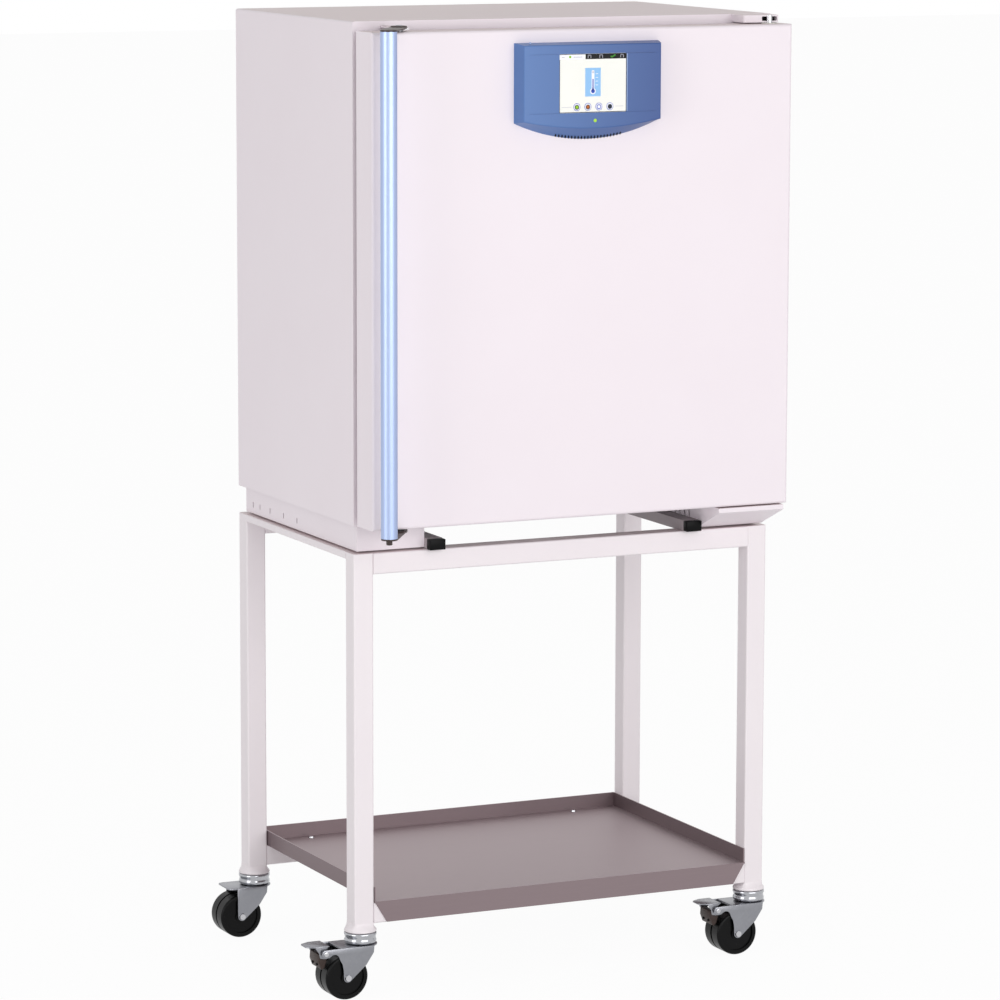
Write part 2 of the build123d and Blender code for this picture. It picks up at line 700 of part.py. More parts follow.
# Glass door: a tempered pane inside the front frame's recess
pane_thickness = 5.0
pane_side_gap = 12.0
pane_back = recess_depth - sheet - gasket_depth - seat_gap
pane_front = pane_back - pane_thickness
pane_half = recess_width / 2 - pane_side_gap
pane_height = recess_height - 16.0
glass_hinge_x = recess_width / 2 - 6.0
glass_hinge_y = 2.0
catch_x = -pane_half + 16.0
spindle = 8.0
with BuildPart() as glass_pane:
    with BuildSketch(upright(pane_back, z=middle)):
        RectangleRounded(2 * pane_half, pane_height, 6)
        with Locations((catch_x, 0)):
            Circle(spindle / 2 + running_clearance, mode=Mode.SUBTRACT)
    extrude(amount=pane_thickness)
    chamfer(glass_pane.faces().sort_by(Axis.Y)[0].outer_wire().edges(), length=0.8)
save(glass_pane, "glass_pane")

# Glass hinges: clamps on the pane's right edge, with a knuckle; the pins are on the frame
knuckle_diameter = 8.0
glass_pin_diameter = 4.0
glass_hinge_height = 40.0
glass_hinge_drop = pane_height / 2 - 70
with BuildPart() as glass_hinges:
    for hand in (-1, 1):
        with BuildSketch(level(middle + hand * glass_hinge_drop - glass_hinge_height / 2)):
            with Locations((glass_hinge_x, glass_hinge_y)):
                Circle(knuckle_diameter / 2)
            with Locations((pane_half - 10, pane_front - 1.5)):
                Rectangle(36, 3)
            with Locations((glass_hinge_x - 2.5, pane_front - 2.5)):
                Rectangle(6, 5)
            with Locations((glass_hinge_x, glass_hinge_y)):
                Circle(glass_pin_diameter / 2 + running_clearance, mode=Mode.SUBTRACT)
        extrude(amount=glass_hinge_height)
save(glass_hinges, "glass_hinges")

# Glass hinge brackets: ears on the frame's recess wall that hold the pins
ear_height = 6.0
with BuildPart() as glass_hinge_brackets:
    for hand in (-1, 1):
        hinge_low = middle + hand * glass_hinge_drop - glass_hinge_height / 2
        hinge_high = hinge_low + glass_hinge_height
        for ear_z in (hinge_low - ear_height - seat_gap, hinge_high + seat_gap):
            with BuildSketch(level(ear_z)):
                with Locations((recess_width / 2 - 4, glass_hinge_y)):
                    Rectangle(8, knuckle_diameter)
                with Locations((glass_hinge_x, glass_hinge_y)):
                    Circle(knuckle_diameter / 2)
            extrude(amount=ear_height)
        with BuildSketch(level(hinge_low - ear_height)):
            with Locations((glass_hinge_x, glass_hinge_y)):
                Circle(glass_pin_diameter / 2)
        extrude(amount=glass_hinge_height + 2 * ear_height)
save(glass_hinge_brackets, "glass_hinge_brackets")

# Glass catch: a turn button whose tongue goes behind a keeper
tongue_thickness = 2.3
boss_diameter = 18.0
keeper_reach = 22.0
with BuildPart() as glass_catch:
    with BuildSketch(upright(pane_back - 0.2, x=catch_x, z=middle)):
        Circle(spindle / 2)
    extrude(amount=pane_thickness)
    with BuildSketch(upright(pane_front - 0.2, x=catch_x, z=middle)):
        Circle(boss_diameter / 2)
        with Locations((-keeper_reach / 2, 0)):
            Rectangle(keeper_reach, 10)
    extrude(amount=tongue_thickness)
    with BuildSketch(upright(pane_front - 0.2 - tongue_thickness, x=catch_x, z=middle)):
        Circle(boss_diameter / 2)
    extrude(amount=4, taper=8)
    with BuildSketch(upright(pane_front - 4 - tongue_thickness, x=catch_x, z=middle)):
        with Locations((16, 0)):
            SlotOverall(46, 10)
    extrude(amount=5)
save(glass_catch, "glass_catch")

with BuildPart() as catch_keeper:
    keeper_face = pane_front - 0.2 - tongue_thickness - seat_gap
    keeper_wall_x = -recess_width / 2
    with BuildSketch(level(middle - 9)):
        with Locations((keeper_wall_x + 5, keeper_face - 1.2)):
            Rectangle(10, 2.4)
        with Locations((keeper_wall_x + 1, keeper_face + 2.5)):
            Rectangle(2, 9)
    extrude(amount=18)
save(catch_keeper, "catch_keeper")

# Stand legs: square tubes with a cap plate at the foot
with BuildPart() as stand_legs:
    for hand in (-1, 1):
        for depth in leg_depths:
            with BuildSketch(level(caster_height, x=hand * leg_centre_x, y=depth)):
                RectangleRounded(tube, tube, tube_corner)
                Rectangle(tube - 2 * tube_wall, tube - 2 * tube_wall, mode=Mode.SUBTRACT)
            extrude(amount=stand_height)
            with BuildSketch(level(caster_height, x=hand * leg_centre_x, y=depth)):
                RectangleRounded(tube, tube, tube_corner)
            extrude(amount=tube_wall)
            with BuildSketch(level(stand_top - tube_wall, x=hand * leg_centre_x, y=depth)):
                RectangleRounded(tube, tube, tube_corner)
            extrude(amount=tube_wall)
save(stand_legs, "stand_legs")

# Rails: square tubes across the front and the back, flat ones along the sides
rail_span = casing_width - 2 * tube
with BuildPart() as cross_rails:
    for rail_middle in (stand_top - tube / 2, lower_rail_base + tube / 2):
        for depth in leg_depths:
            with BuildSketch(sideways(-rail_span / 2, y=depth, z=rail_middle)):
                RectangleRounded(tube, tube, tube_corner)
                Rectangle(tube - 2 * tube_wall, tube - 2 * tube_wall, mode=Mode.SUBTRACT)
            extrude(amount=rail_span)
save(cross_rails, "cross_rails")

side_span = casing_depth - 2 * tube
with BuildPart() as side_rails:
    for hand in (-1, 1):
        with BuildSketch(upright(tube, x=hand * leg_centre_x, z=stand_top - side_rail_height / 2)):
            RectangleRounded(tube, side_rail_height, 2)
            Rectangle(tube - 2 * tube_wall, side_rail_height - 2 * tube_wall, mode=Mode.SUBTRACT)
        extrude(amount=-side_span)
save(side_rails, "side_rails")

# Tray: a folded sheet between the legs, with raised sides and back and a turned-down front
tray_base = lower_rail_base + tube
tray_half = rail_span / 2 - 0.5
tray_front_cut = 22.0
tray_front_y = -tray_sheet
with BuildPart() as storage_tray:
    with BuildSketch(level(tray_base, y=(tray_front_y + casing_depth) / 2)):
        Rectangle(2 * tray_half, casing_depth - tray_front_y)
    extrude(amount=tray_sheet)
    for hand in (-1, 1):
        with BuildSketch(sideways(hand * tray_half, z=tray_base)):
            with Locations((casing_depth / 2, tray_flange / 2)):
                Rectangle(casing_depth, tray_flange)
        extrude(amount=-hand * tray_sheet)
    with BuildSketch(upright(casing_depth, z=tray_base)):
        with Locations((0, tray_flange / 2)):
            Rectangle(2 * tray_half, tray_flange)
    extrude(amount=tray_sheet)
    with BuildSketch(upright(0, z=tray_base + tray_sheet)):
        with BuildLine():
            Polyline((-tray_half, 0), (-tray_half + tray_front_cut, -tray_front_flange),
                     (tray_half - tray_front_cut, -tray_front_flange), (tray_half, 0), close=True)
        make_face()
    extrude(amount=tray_sheet)
save(storage_tray, "storage_tray")

# Tray screws: pan heads through the tray into the rear rail
with BuildPart() as tray_screws:
    for hand in (-1, 1):
        with BuildSketch(level(tray_base + tray_sheet, x=hand * 255, y=leg_depths[1])):
            Circle(5)
        extrude(amount=2.5, taper=15)
save(tray_screws, "tray_screws")

# Caster mounts: a stem plate and a swivel race under each leg
race_top = caster_height
race_bottom = caster_height - 2 - ring_height
fork_top = race_bottom - seat_gap
with BuildPart() as caster_mounts:
    for hand in (-1, 1):
        for depth in leg_depths:
            with BuildSketch(level(race_top, x=hand * leg_centre_x, y=depth)):
                Circle(ring_diameter / 2 - 4)
            extrude(amount=-2)
            with BuildSketch(level(race_top - 2, x=hand * leg_centre_x, y=depth)):
                Circle(ring_diameter / 2)
            extrude(amount=-ring_height)
    rims = caster_mounts.edges().filter_by(GeomType.CIRCLE)
    rims = rims.filter_by(lambda edge: abs(edge.radius - ring_diameter / 2) < 0.1)
    fillet(rims, radius=3)
save(caster_mounts, "caster_mounts")

fork_half = wheel_width / 2 + fork_gap
fork_outer = fork_half + fork_sheet
axle_height = wheel_diameter / 2
crown = fork_top - axle_height
cheek_right = caster_trail + ring_diameter / 2 + race_margin

# One side plate's outline, from the top plate down to the axle, with the wheel's centre at (0, 0)
plain_cheek = ((-9, 0), (-9, crown), (cheek_right, crown), (cheek_right, crown - 13), (7, -4), (0, -9), (-7, -6))
braked_cheek = ((-brake_pivot_left - 7, brake_pivot_up - 4), (-brake_pivot_left - 5, brake_pivot_up + 7),
                (-8, crown - 2), (-8, crown), (cheek_right, crown), (cheek_right, crown - 13), (7, -4), (0, -8),
                (-8, -2), (-8, 22), (-16, 38), (-30, 41), (-brake_pivot_left, brake_pivot_up - 8))

# Casters: fork, axle and twin wheel at each corner, trailing to the left; the front ones brake
for depth_name, depth in zip(("front", "rear"), leg_depths):
    for hand, side in ((-1, "left"), (1, "right")):
        corner = f"{depth_name}_{side}"
        swivel_x = hand * leg_centre_x
        wheel_x = swivel_x - caster_trail
        braked = depth_name == "front"
        plate_left = wheel_x - (8 if braked else 24)
        plate_right = swivel_x + ring_diameter / 2 + race_margin
        with BuildPart() as caster_fork:
            with BuildSketch(level(fork_top, x=(plate_left + plate_right) / 2, y=depth)):
                Rectangle(plate_right - plate_left, 2 * fork_outer)
            extrude(amount=-fork_sheet)
            for cheek_y in (depth - fork_half, depth + fork_half + fork_sheet):
                with BuildSketch(upright(cheek_y, x=wheel_x, z=axle_height)):
                    with BuildLine():
                        Polyline(*(braked_cheek if braked else plain_cheek), close=True)
                    make_face()
                extrude(amount=fork_sheet)
            with BuildSketch(upright(depth - fork_outer, x=wheel_x, z=axle_height)):
                Circle(axle_diameter / 2)
            extrude(amount=-2 * fork_outer, mode=Mode.SUBTRACT)
            if braked:
                with BuildSketch(upright(depth - fork_outer, x=wheel_x - brake_pivot_left,
                                         z=axle_height + brake_pivot_up)):
                    Circle(rivet_diameter / 2 + running_clearance)
                extrude(amount=-2 * fork_outer, mode=Mode.SUBTRACT)
        save(caster_fork, f"caster_fork_{corner}")

        with BuildPart() as caster_axle:
            with BuildSketch(upright(depth - fork_outer - 2, x=wheel_x, z=axle_height)):
                Circle(axle_diameter / 2)
            extrude(amount=-(2 * fork_outer + 4))
            for end_y, out in ((depth - fork_outer, 1), (depth + fork_outer, -1)):
                with BuildSketch(upright(end_y, x=wheel_x, z=axle_height)):
                    Circle(6)
                extrude(amount=out * 2.5, taper=20)
        save(caster_axle, f"caster_axle_{corner}")

        with BuildPart() as caster_wheel:
            with BuildSketch(upright(depth, x=wheel_x, z=axle_height)):
                Circle(wheel_diameter / 2)
            extrude(amount=wheel_width / 2, both=True)
            wheel_rims = caster_wheel.edges().filter_by(GeomType.CIRCLE)
            fillet(wheel_rims, radius=4)
            with BuildSketch(upright(depth, x=wheel_x, z=axle_height)):
                Circle(wheel_diameter / 2 + 1)
                Circle(wheel_diameter / 2 - 9, mode=Mode.SUBTRACT)
            extrude(amount=wheel_groove / 2, both=True, mode=Mode.SUBTRACT)
            for face_y, inward in ((depth - wheel_width / 2, -1), (depth + wheel_width / 2, 1)):
                with BuildSketch(upright(face_y, x=wheel_x, z=axle_height)):
                    Circle(wheel_diameter / 2 - 8)
                    Circle(10, mode=Mode.SUBTRACT)
                extrude(amount=inward * 3, mode=Mode.SUBTRACT)
            with BuildSketch(upright(depth - wheel_width / 2 - 1, x=wheel_x, z=axle_height)):
                Circle(axle_diameter / 2 + running_clearance)
            extrude(amount=-(wheel_width + 2), mode=Mode.SUBTRACT)
        save(caster_wheel, f"caster_wheel_{corner}")

# Brakes: a pedal with a shoe, turning on its own rivet between the fork's arms
brake_half = fork_half - seat_gap
for hand, side in ((-1, "left"), (1, "right")):
    wheel_x = hand * leg_centre_x - caster_trail
    with BuildPart() as brake_pedal:
        with BuildSketch(upright(leg_depths[0], x=wheel_x, z=axle_height)):
            with BuildLine():
                Polyline((-pedal_reach, brake_pivot_up + 11), (-pedal_reach + 4, brake_pivot_up + 14),
                         (-brake_pivot_left, brake_pivot_up + 13), (-brake_pivot_left + 6, brake_pivot_up + 8),
                         (-brake_pivot_left + 6, brake_pivot_up - 5), (-32, 35), (-38, 20), (-43, 16),
                         (-49, 30), (-48, brake_pivot_up + 2), (-52, brake_pivot_up + 8), close=True)
            make_face()
        extrude(amount=brake_half, both=True)
        with BuildSketch(upright(leg_depths[0] - fork_outer, x=wheel_x - brake_pivot_left,
                                 z=axle_height + brake_pivot_up)):
            Circle(rivet_diameter / 2)
        extrude(amount=-2 * fork_outer)
    save(brake_pedal, f"brake_pedal_{side}")
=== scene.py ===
# Laboratory incubator on its wheeled stand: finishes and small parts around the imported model.
import math

import bmesh
import bpy
from mathutils import Matrix, Vector


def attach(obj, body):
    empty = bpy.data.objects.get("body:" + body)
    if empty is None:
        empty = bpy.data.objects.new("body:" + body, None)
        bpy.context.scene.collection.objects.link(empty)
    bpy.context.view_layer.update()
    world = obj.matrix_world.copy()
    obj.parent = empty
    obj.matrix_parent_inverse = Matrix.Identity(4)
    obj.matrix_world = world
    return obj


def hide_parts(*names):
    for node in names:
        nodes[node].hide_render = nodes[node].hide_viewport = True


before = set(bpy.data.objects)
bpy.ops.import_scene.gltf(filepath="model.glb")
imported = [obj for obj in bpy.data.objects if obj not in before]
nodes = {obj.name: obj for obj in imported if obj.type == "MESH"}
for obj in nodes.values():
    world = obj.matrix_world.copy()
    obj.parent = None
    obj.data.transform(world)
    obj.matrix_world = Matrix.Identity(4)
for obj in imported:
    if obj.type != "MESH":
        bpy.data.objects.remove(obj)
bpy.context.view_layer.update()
scene = bpy.context.scene
print("frame loaded:", len(nodes), "nodes")

mm = 0.001
cabinetX, cabinetY = 37.5 * mm, -188.25 * mm  # the cabinet's centre line and front face in the frame


def place(x, y, z):  # millimetres from the cabinet's centre line, its front face and the floor
    return Vector((cabinetX + x * mm, cabinetY + y * mm, z * mm))


def toLinear(hexColour):
    channels = [int(hexColour[i:i + 2], 16) / 255 for i in (1, 3, 5)]
    return [c / 12.92 if c <= 0.04045 else ((c + 0.055) / 1.055) ** 2.4 for c in channels] + [1.0]


def addNode(tree, kind, links=None, **settings):
    # sockets go by name, or by number where names repeat: a colour mix has its factor at 0, colours at 6, 7
    node = tree.nodes.new(kind)
    for name, value in settings.items():
        setattr(node, name, value)
    for socket, value in (links or {}).items():
        if isinstance(value, bpy.types.NodeSocket):
            tree.links.new(value, node.inputs[socket])
        else:
            node.inputs[socket].default_value = value
    return node


def newMaterial(name, colour, roughness, metallic=0.0, **sockets):
    material = bpy.data.materials.new(name)
    material.use_nodes = True
    tree = material.node_tree
    shader = tree.nodes["Principled BSDF"]
    shader.inputs["Base Color"].default_value = toLinear(colour)
    shader.inputs["Roughness"].default_value = roughness
    shader.inputs["Metallic"].default_value = metallic
    for socket, value in sockets.items():
        shader.inputs[socket.replace("_", " ")].default_value = value
    material.diffuse_color = toLinear(colour)
    return material, tree, shader


def joinShader(tree, shader, **outputs):  # an underscore stands for the space in a socket's name
    for socket, output in outputs.items():
        tree.links.new(output, shader.inputs[socket.replace("_", " ")])


def perMm(size):  # the scale that makes a noise or cell pattern this many millimetres across
    return 1 / (size * mm)


def powderCoat(name, colour, shade):
    # polyester powder coat, baked: satin, its 0.5 mm orange peel drawn 1.6 mm so that it doesn't glitter;
    # faces turned up are painted darker and warmer, a painted shade chosen to match the photograph
    paintedTopShade = toLinear("#DCCBCC")
    material, tree, shader = newMaterial(name, colour, 0.42, Coat_Weight=0.08, Coat_Roughness=0.3)
    coords = addNode(tree, "ShaderNodeTexCoord")
    where = coords.outputs["Object"]
    facing = addNode(tree, "ShaderNodeSeparateXYZ", {"Vector": coords.outputs["Normal"]})
    topShadeMask = addNode(tree, "ShaderNodeMapRange",
                     {"Value": facing.outputs["Z"], "From Min": 0.85, "From Max": 1.0})
    cloud = addNode(tree, "ShaderNodeTexNoise", {"Vector": where, "Scale": perMm(160), "Detail": 3})
    tone = addNode(tree, "ShaderNodeMix",
                   {0: cloud.outputs["Fac"], 6: toLinear(colour), 7: toLinear(shade)}, data_type="RGBA")
    # painted shade: the colour turns darker and warmer on faces turned up
    film = addNode(tree, "ShaderNodeMix",
                   {0: topShadeMask.outputs[0], 6: tone.outputs[2], 7: paintedTopShade}, data_type="RGBA")
    peel = addNode(tree, "ShaderNodeTexNoise", {"Vector": where, "Scale": perMm(1.6), "Detail": 3})
    gloss = addNode(tree, "ShaderNodeMapRange",
                    {"Value": peel.outputs["Fac"], "To Min": 0.36, "To Max": 0.5})
    relief = addNode(tree, "ShaderNodeBump",
                     {"Height": peel.outputs["Fac"], "Distance": 0.05 * mm, "Strength": 0.35})
    joinShader(tree, shader, Base_Color=film.outputs[2], Roughness=gloss.outputs[0],
               Normal=relief.outputs[0])
    return material


def foldedSheet(name, flat, paintedFlangeShade, roughness):
    # plain steel sheet, satin from rolling; its upright flanges are darker than its flat, a painted shade
    # chosen to match the photograph
    material, tree, shader = newMaterial(name, flat, roughness, 1.0)
    coords = addNode(tree, "ShaderNodeTexCoord")
    facing = addNode(tree, "ShaderNodeSeparateXYZ", {"Vector": coords.outputs["Normal"]})
    flangeShadeMask = addNode(tree, "ShaderNodeMath", {0: facing.outputs["Z"]}, operation="ABSOLUTE")
    grain = addNode(tree, "ShaderNodeMapping",
                    {"Vector": coords.outputs["Object"], "Scale": (0.03, 1, 1)})
    lines = addNode(tree, "ShaderNodeTexNoise",
                    {"Vector": grain.outputs[0], "Scale": perMm(2.4), "Detail": 3})
    light = addNode(tree, "ShaderNodeMath",
                    {0: lines.outputs["Fac"], 1: 0.06, 2: 0.97}, operation="MULTIPLY_ADD")
    # painted shade: upright flanges take the darker colour, flat faces the lighter
    tone = addNode(tree, "ShaderNodeMix",
                   {0: flangeShadeMask.outputs[0], 6: toLinear(paintedFlangeShade), 7: toLinear(flat)}, data_type="RGBA")
    shaded = addNode(tree, "ShaderNodeMix",
                     {0: 1.0, 6: tone.outputs[2], 7: light.outputs[0]},
                     data_type="RGBA", blend_type="MULTIPLY")
    relief = addNode(tree, "ShaderNodeBump",
                     {"Height": lines.outputs["Fac"], "Distance": 0.01 * mm, "Strength": 0.4})
    joinShader(tree, shader, Base_Color=shaded.outputs[2], Normal=relief.outputs[0])
    return material


def groundSteel(name, colour, dark, roughness, along, lineMm, reliefMm=0.01):
    # metal sheet, bar or tube, ground or drawn along one axis: fine lines, coarser than the real 0.1 mm
    material, tree, shader = newMaterial(name, colour, roughness, 1.0)
    where = addNode(tree, "ShaderNodeTexCoord").outputs["Object"]
    stretch = [0.02 if axis == along else 1.0 for axis in range(3)]
    grain = addNode(tree, "ShaderNodeMapping", {"Vector": where, "Scale": stretch})
    lines = addNode(tree, "ShaderNodeTexNoise",
                    {"Vector": grain.outputs[0], "Scale": perMm(lineMm), "Detail": 3})
    cloud = addNode(tree, "ShaderNodeTexNoise", {"Vector": where, "Scale": perMm(120), "Detail": 2})
    blend = addNode(tree, "ShaderNodeMath",
                    {0: lines.outputs["Fac"], 1: cloud.outputs["Fac"]}, operation="MULTIPLY")
    tone = addNode(tree, "ShaderNodeMix",
                   {0: blend.outputs[0], 6: toLinear(colour), 7: toLinear(dark)}, data_type="RGBA")
    gloss = addNode(tree, "ShaderNodeMapRange",
                    {"Value": lines.outputs["Fac"], "To Min": roughness - 0.05,
                     "To Max": roughness + 0.08})
    relief = addNode(tree, "ShaderNodeBump",
                     {"Height": lines.outputs["Fac"], "Distance": reliefMm * mm, "Strength": 0.4})
    joinShader(tree, shader, Base_Color=tone.outputs[2], Roughness=gloss.outputs[0],
               Normal=relief.outputs[0])
    return material


def zincSheet(name, colour, tint, roughness, spangleMm):
    # zinc on pressed steel: a soft cloudy metal with faint crystals, slightly uneven in its shine
    material, tree, shader = newMaterial(name, colour, roughness, 1.0)
    where = addNode(tree, "ShaderNodeTexCoord").outputs["Object"]
    cells = addNode(tree, "ShaderNodeTexVoronoi", {"Vector": where, "Scale": perMm(spangleMm)})
    crystal = addNode(tree, "ShaderNodeSeparateColor", {"Color": cells.outputs["Color"]})
    cloud = addNode(tree, "ShaderNodeTexNoise", {"Vector": where, "Scale": perMm(30), "Detail": 3})
    blend = addNode(tree, "ShaderNodeMix", {0: 0.3, 2: cloud.outputs["Fac"], 3: crystal.outputs[0]})
    tone = addNode(tree, "ShaderNodeMix",
                   {0: blend.outputs[0], 6: toLinear(colour), 7: toLinear(tint)}, data_type="RGBA")
    gloss = addNode(tree, "ShaderNodeMapRange",
                    {"Value": blend.outputs[0], "To Min": roughness - 0.04, "To Max": roughness + 0.06})
    relief = addNode(tree, "ShaderNodeBump",
                     {"Height": cloud.outputs["Fac"], "Distance": 0.01 * mm, "Strength": 0.2})
    joinShader(tree, shader, Base_Color=tone.outputs[2], Roughness=gloss.outputs[0],
               Normal=relief.outputs[0])
    return material


def mouldedPlastic(name, colour, shade, roughness, grainMm=0.8, reliefMm=0.03, **sockets):
    # plastic, rubber, foam or thick coat: an even colour with a fine grain, drawn 0.8 mm or coarser
    material, tree, shader = newMaterial(name, colour, roughness, **sockets)
    where = addNode(tree, "ShaderNodeTexCoord").outputs["Object"]
    cloud = addNode(tree, "ShaderNodeTexNoise", {"Vector": where, "Scale": perMm(60), "Detail": 2})
    tone = addNode(tree, "ShaderNodeMix",
                   {0: cloud.outputs["Fac"], 6: toLinear(colour), 7: toLinear(shade)}, data_type="RGBA")
    grain = addNode(tree, "ShaderNodeTexNoise", {"Vector": where, "Scale": perMm(grainMm), "Detail": 2})
    gloss = addNode(tree, "ShaderNodeMapRange",
                    {"Value": grain.outputs["Fac"], "To Min": roughness - 0.05,
                     "To Max": roughness + 0.06})
    relief = addNode(tree, "ShaderNodeBump",
                     {"Height": grain.outputs["Fac"], "Distance": reliefMm * mm, "Strength": 0.5})
    joinShader(tree, shader, Base_Color=tone.outputs[2], Roughness=gloss.outputs[0],
               Normal=relief.outputs[0])
    return material


def plasticWithPaintedShade(name, light, dark, fromX, toX):
    # one ABS moulding, paler at its left end than at its right: painted shading, a tone chosen to match the
    # photograph
    material, tree, shader = newMaterial(name, light, 0.36)
    where = addNode(tree, "ShaderNodeTexCoord").outputs["Object"]
    across = addNode(tree, "ShaderNodeSeparateXYZ", {"Vector": where})
    share = addNode(tree, "ShaderNodeMapRange",
                    {"Value": across.outputs["X"], "From Min": fromX, "From Max": toX})
    tone = addNode(tree, "ShaderNodeMix",
                   {0: share.outputs[0], 6: toLinear(light), 7: toLinear(dark)}, data_type="RGBA")
    grain = addNode(tree, "ShaderNodeTexNoise", {"Vector": where, "Scale": perMm(0.9), "Detail": 2})
    gloss = addNode(tree, "ShaderNodeMapRange",
                    {"Value": grain.outputs["Fac"], "To Min": 0.32, "To Max": 0.42})
    relief = addNode(tree, "ShaderNodeBump",
                     {"Height": grain.outputs["Fac"], "Distance": 0.03 * mm, "Strength": 0.5})
    joinShader(tree, shader, Base_Color=tone.outputs[2], Roughness=gloss.outputs[0],
               Normal=relief.outputs[0])
    return material


def clearSkin(name, colour, shade, cloudMm, roughness, **sockets):
    # glass or acrylic, smooth to the eye, with a faint unevenness of tone and surface
    material, tree, shader = newMaterial(name, colour, roughness, **sockets)
    where = addNode(tree, "ShaderNodeTexCoord").outputs["Object"]
    cloud = addNode(tree, "ShaderNodeTexNoise", {"Vector": where, "Scale": perMm(cloudMm), "Detail": 2})
    tone = addNode(tree, "ShaderNodeMix",
                   {0: cloud.outputs["Fac"], 6: toLinear(colour), 7: toLinear(shade)}, data_type="RGBA")
    relief = addNode(tree, "ShaderNodeBump",
                     {"Height": cloud.outputs["Fac"], "Distance": 0.02 * mm, "Strength": 0.1})
    joinShader(tree, shader, Base_Color=tone.outputs[2], Normal=relief.outputs[0])
    return material


def litSkin(name, colour, shade, cloudMm, strength):
    # a lit surface under a smooth skin that mirrors little: the lamp's lens, and the display's pixels
    material = clearSkin(name, colour, shade, cloudMm, 0.2, Specular_IOR_Level=0.12)
    shader = material.node_tree.nodes["Principled BSDF"]
    shader.inputs["Emission Color"].default_value = toLinear(colour)
    shader.inputs["Emission Strength"].default_value = strength
    return material


paint = {
    # both coats carry painted shade: darker and warmer on faces turned up
    "casingCoat": powderCoat("casingPowderCoat", "#F2E9EF", "#EFE5EB"),
    "standCoat": powderCoat("standPowderCoat", "#F1EAED", "#EEE6EA"),
    "galvanised": zincSheet("galvanisedSheet", "#A9A9AC", "#BDBDC0", 0.42, 9),
    # the runner tubes' coat is greyed with painted shade, to their shadowed look under the cabinet
    "tubeCoatPaintedShade": mouldedPlastic("runnerTubePaintedShade", "#ADA2A5", "#A0969A", 0.55),
    "chamberSteel": groundSteel("groundStainless", "#BEBEBB", "#A3A3A2", 0.3, 1, 1.0),
    "brightSteel": groundSteel("turnedBrightSteel", "#C6C6C9", "#ACACB0", 0.22, 2, 0.6),
    "zinc": zincSheet("zincPlate", "#8B8C92", "#97989D", 0.3, 5),
    "raceZinc": zincSheet("racePlate", "#B4B5B9", "#A6A7AC", 0.16, 5),
    # the tray's upright flanges carry painted shade
    "trayMetal": foldedSheet("traySheet", "#A5979A", "#85777A", 0.5),
    "handleMetal": groundSteel("anodisedTube", "#B0BFE0", "#A8B8DC", 0.42, 2, 0.8),
    "leverMetal": mouldedPlastic("leverDarkCoat", "#38241E", "#2B1C18", 0.4),
    # the panel's blue with painted shading, paler at its left end
    "panelBlue": plasticWithPaintedShade("panelAbsBlue", "#5277B2", "#2F4E8C", cabinetX - 0.12, cabinetX + 0.13),
    "blackPlastic": mouldedPlastic("blackNylon", "#060607", "#040405", 0.4, Specular_IOR_Level=0.12),
    "bushPlastic": mouldedPlastic("bushAcetal", "#DAD9D2", "#D2D1CA", 0.4),
    "sealRubber": mouldedPlastic("sealVinyl", "#A9A6A6", "#9E9B9B", 0.55, 1.2),
    "silicone": mouldedPlastic("gasketSilicone", "#DEDDD6", "#D5D4CC", 0.38, 1.5),
    "foam": mouldedPlastic("insulationFoam", "#E0D7B0", "#CFC59B", 0.9, 3.0, 0.4),
    "heater": mouldedPlastic("heaterPolyimide", "#8A5A30", "#7A4E29", 0.35, 2.0),
    "wheelRubber": mouldedPlastic("wheelPolyurethane", "#0A0A0B", "#070708", 0.3, 1.4,
                                  Specular_IOR_Level=0.14),
    "shoeRubber": mouldedPlastic("brakeShoeRubber", "#3B2D2A", "#32251F", 0.45,
                                 Specular_IOR_Level=0.3),
    # near black: painted shade in the panel's vents and the hinge window, and the dark studs on the brake
    # shoes
    "paintedShadeAndDarkStuds": mouldedPlastic("paintedShadeAndDarkStuds", "#141517", "#0E0F11", 0.6, Specular_IOR_Level=0.1),
    # pale blue of the panel's catch; on the screen's edge the same colour is a painted highlight
    "paleCatchAndEdgeHighlight": mouldedPlastic("paleCatchAndEdgeHighlight", "#A9C0E8", "#A0B7E0", 0.4),
    "screenGlass": clearSkin("displayCoverGlass", "#E0E0D9", "#E9E8E1", 70, 0.1, Coat_Weight=0.6,
                             Coat_Roughness=0.05),
    "lensGreen": litSkin("statusLensAcrylic", "#8FC233", "#B4DA5A", 4, 0.25),
    "paneGlass": clearSkin("temperedGlass", "#F4FAF8", "#EAF5F2", 180, 0.03, Transmission_Weight=0.95,
                           IOR=1.52),
}

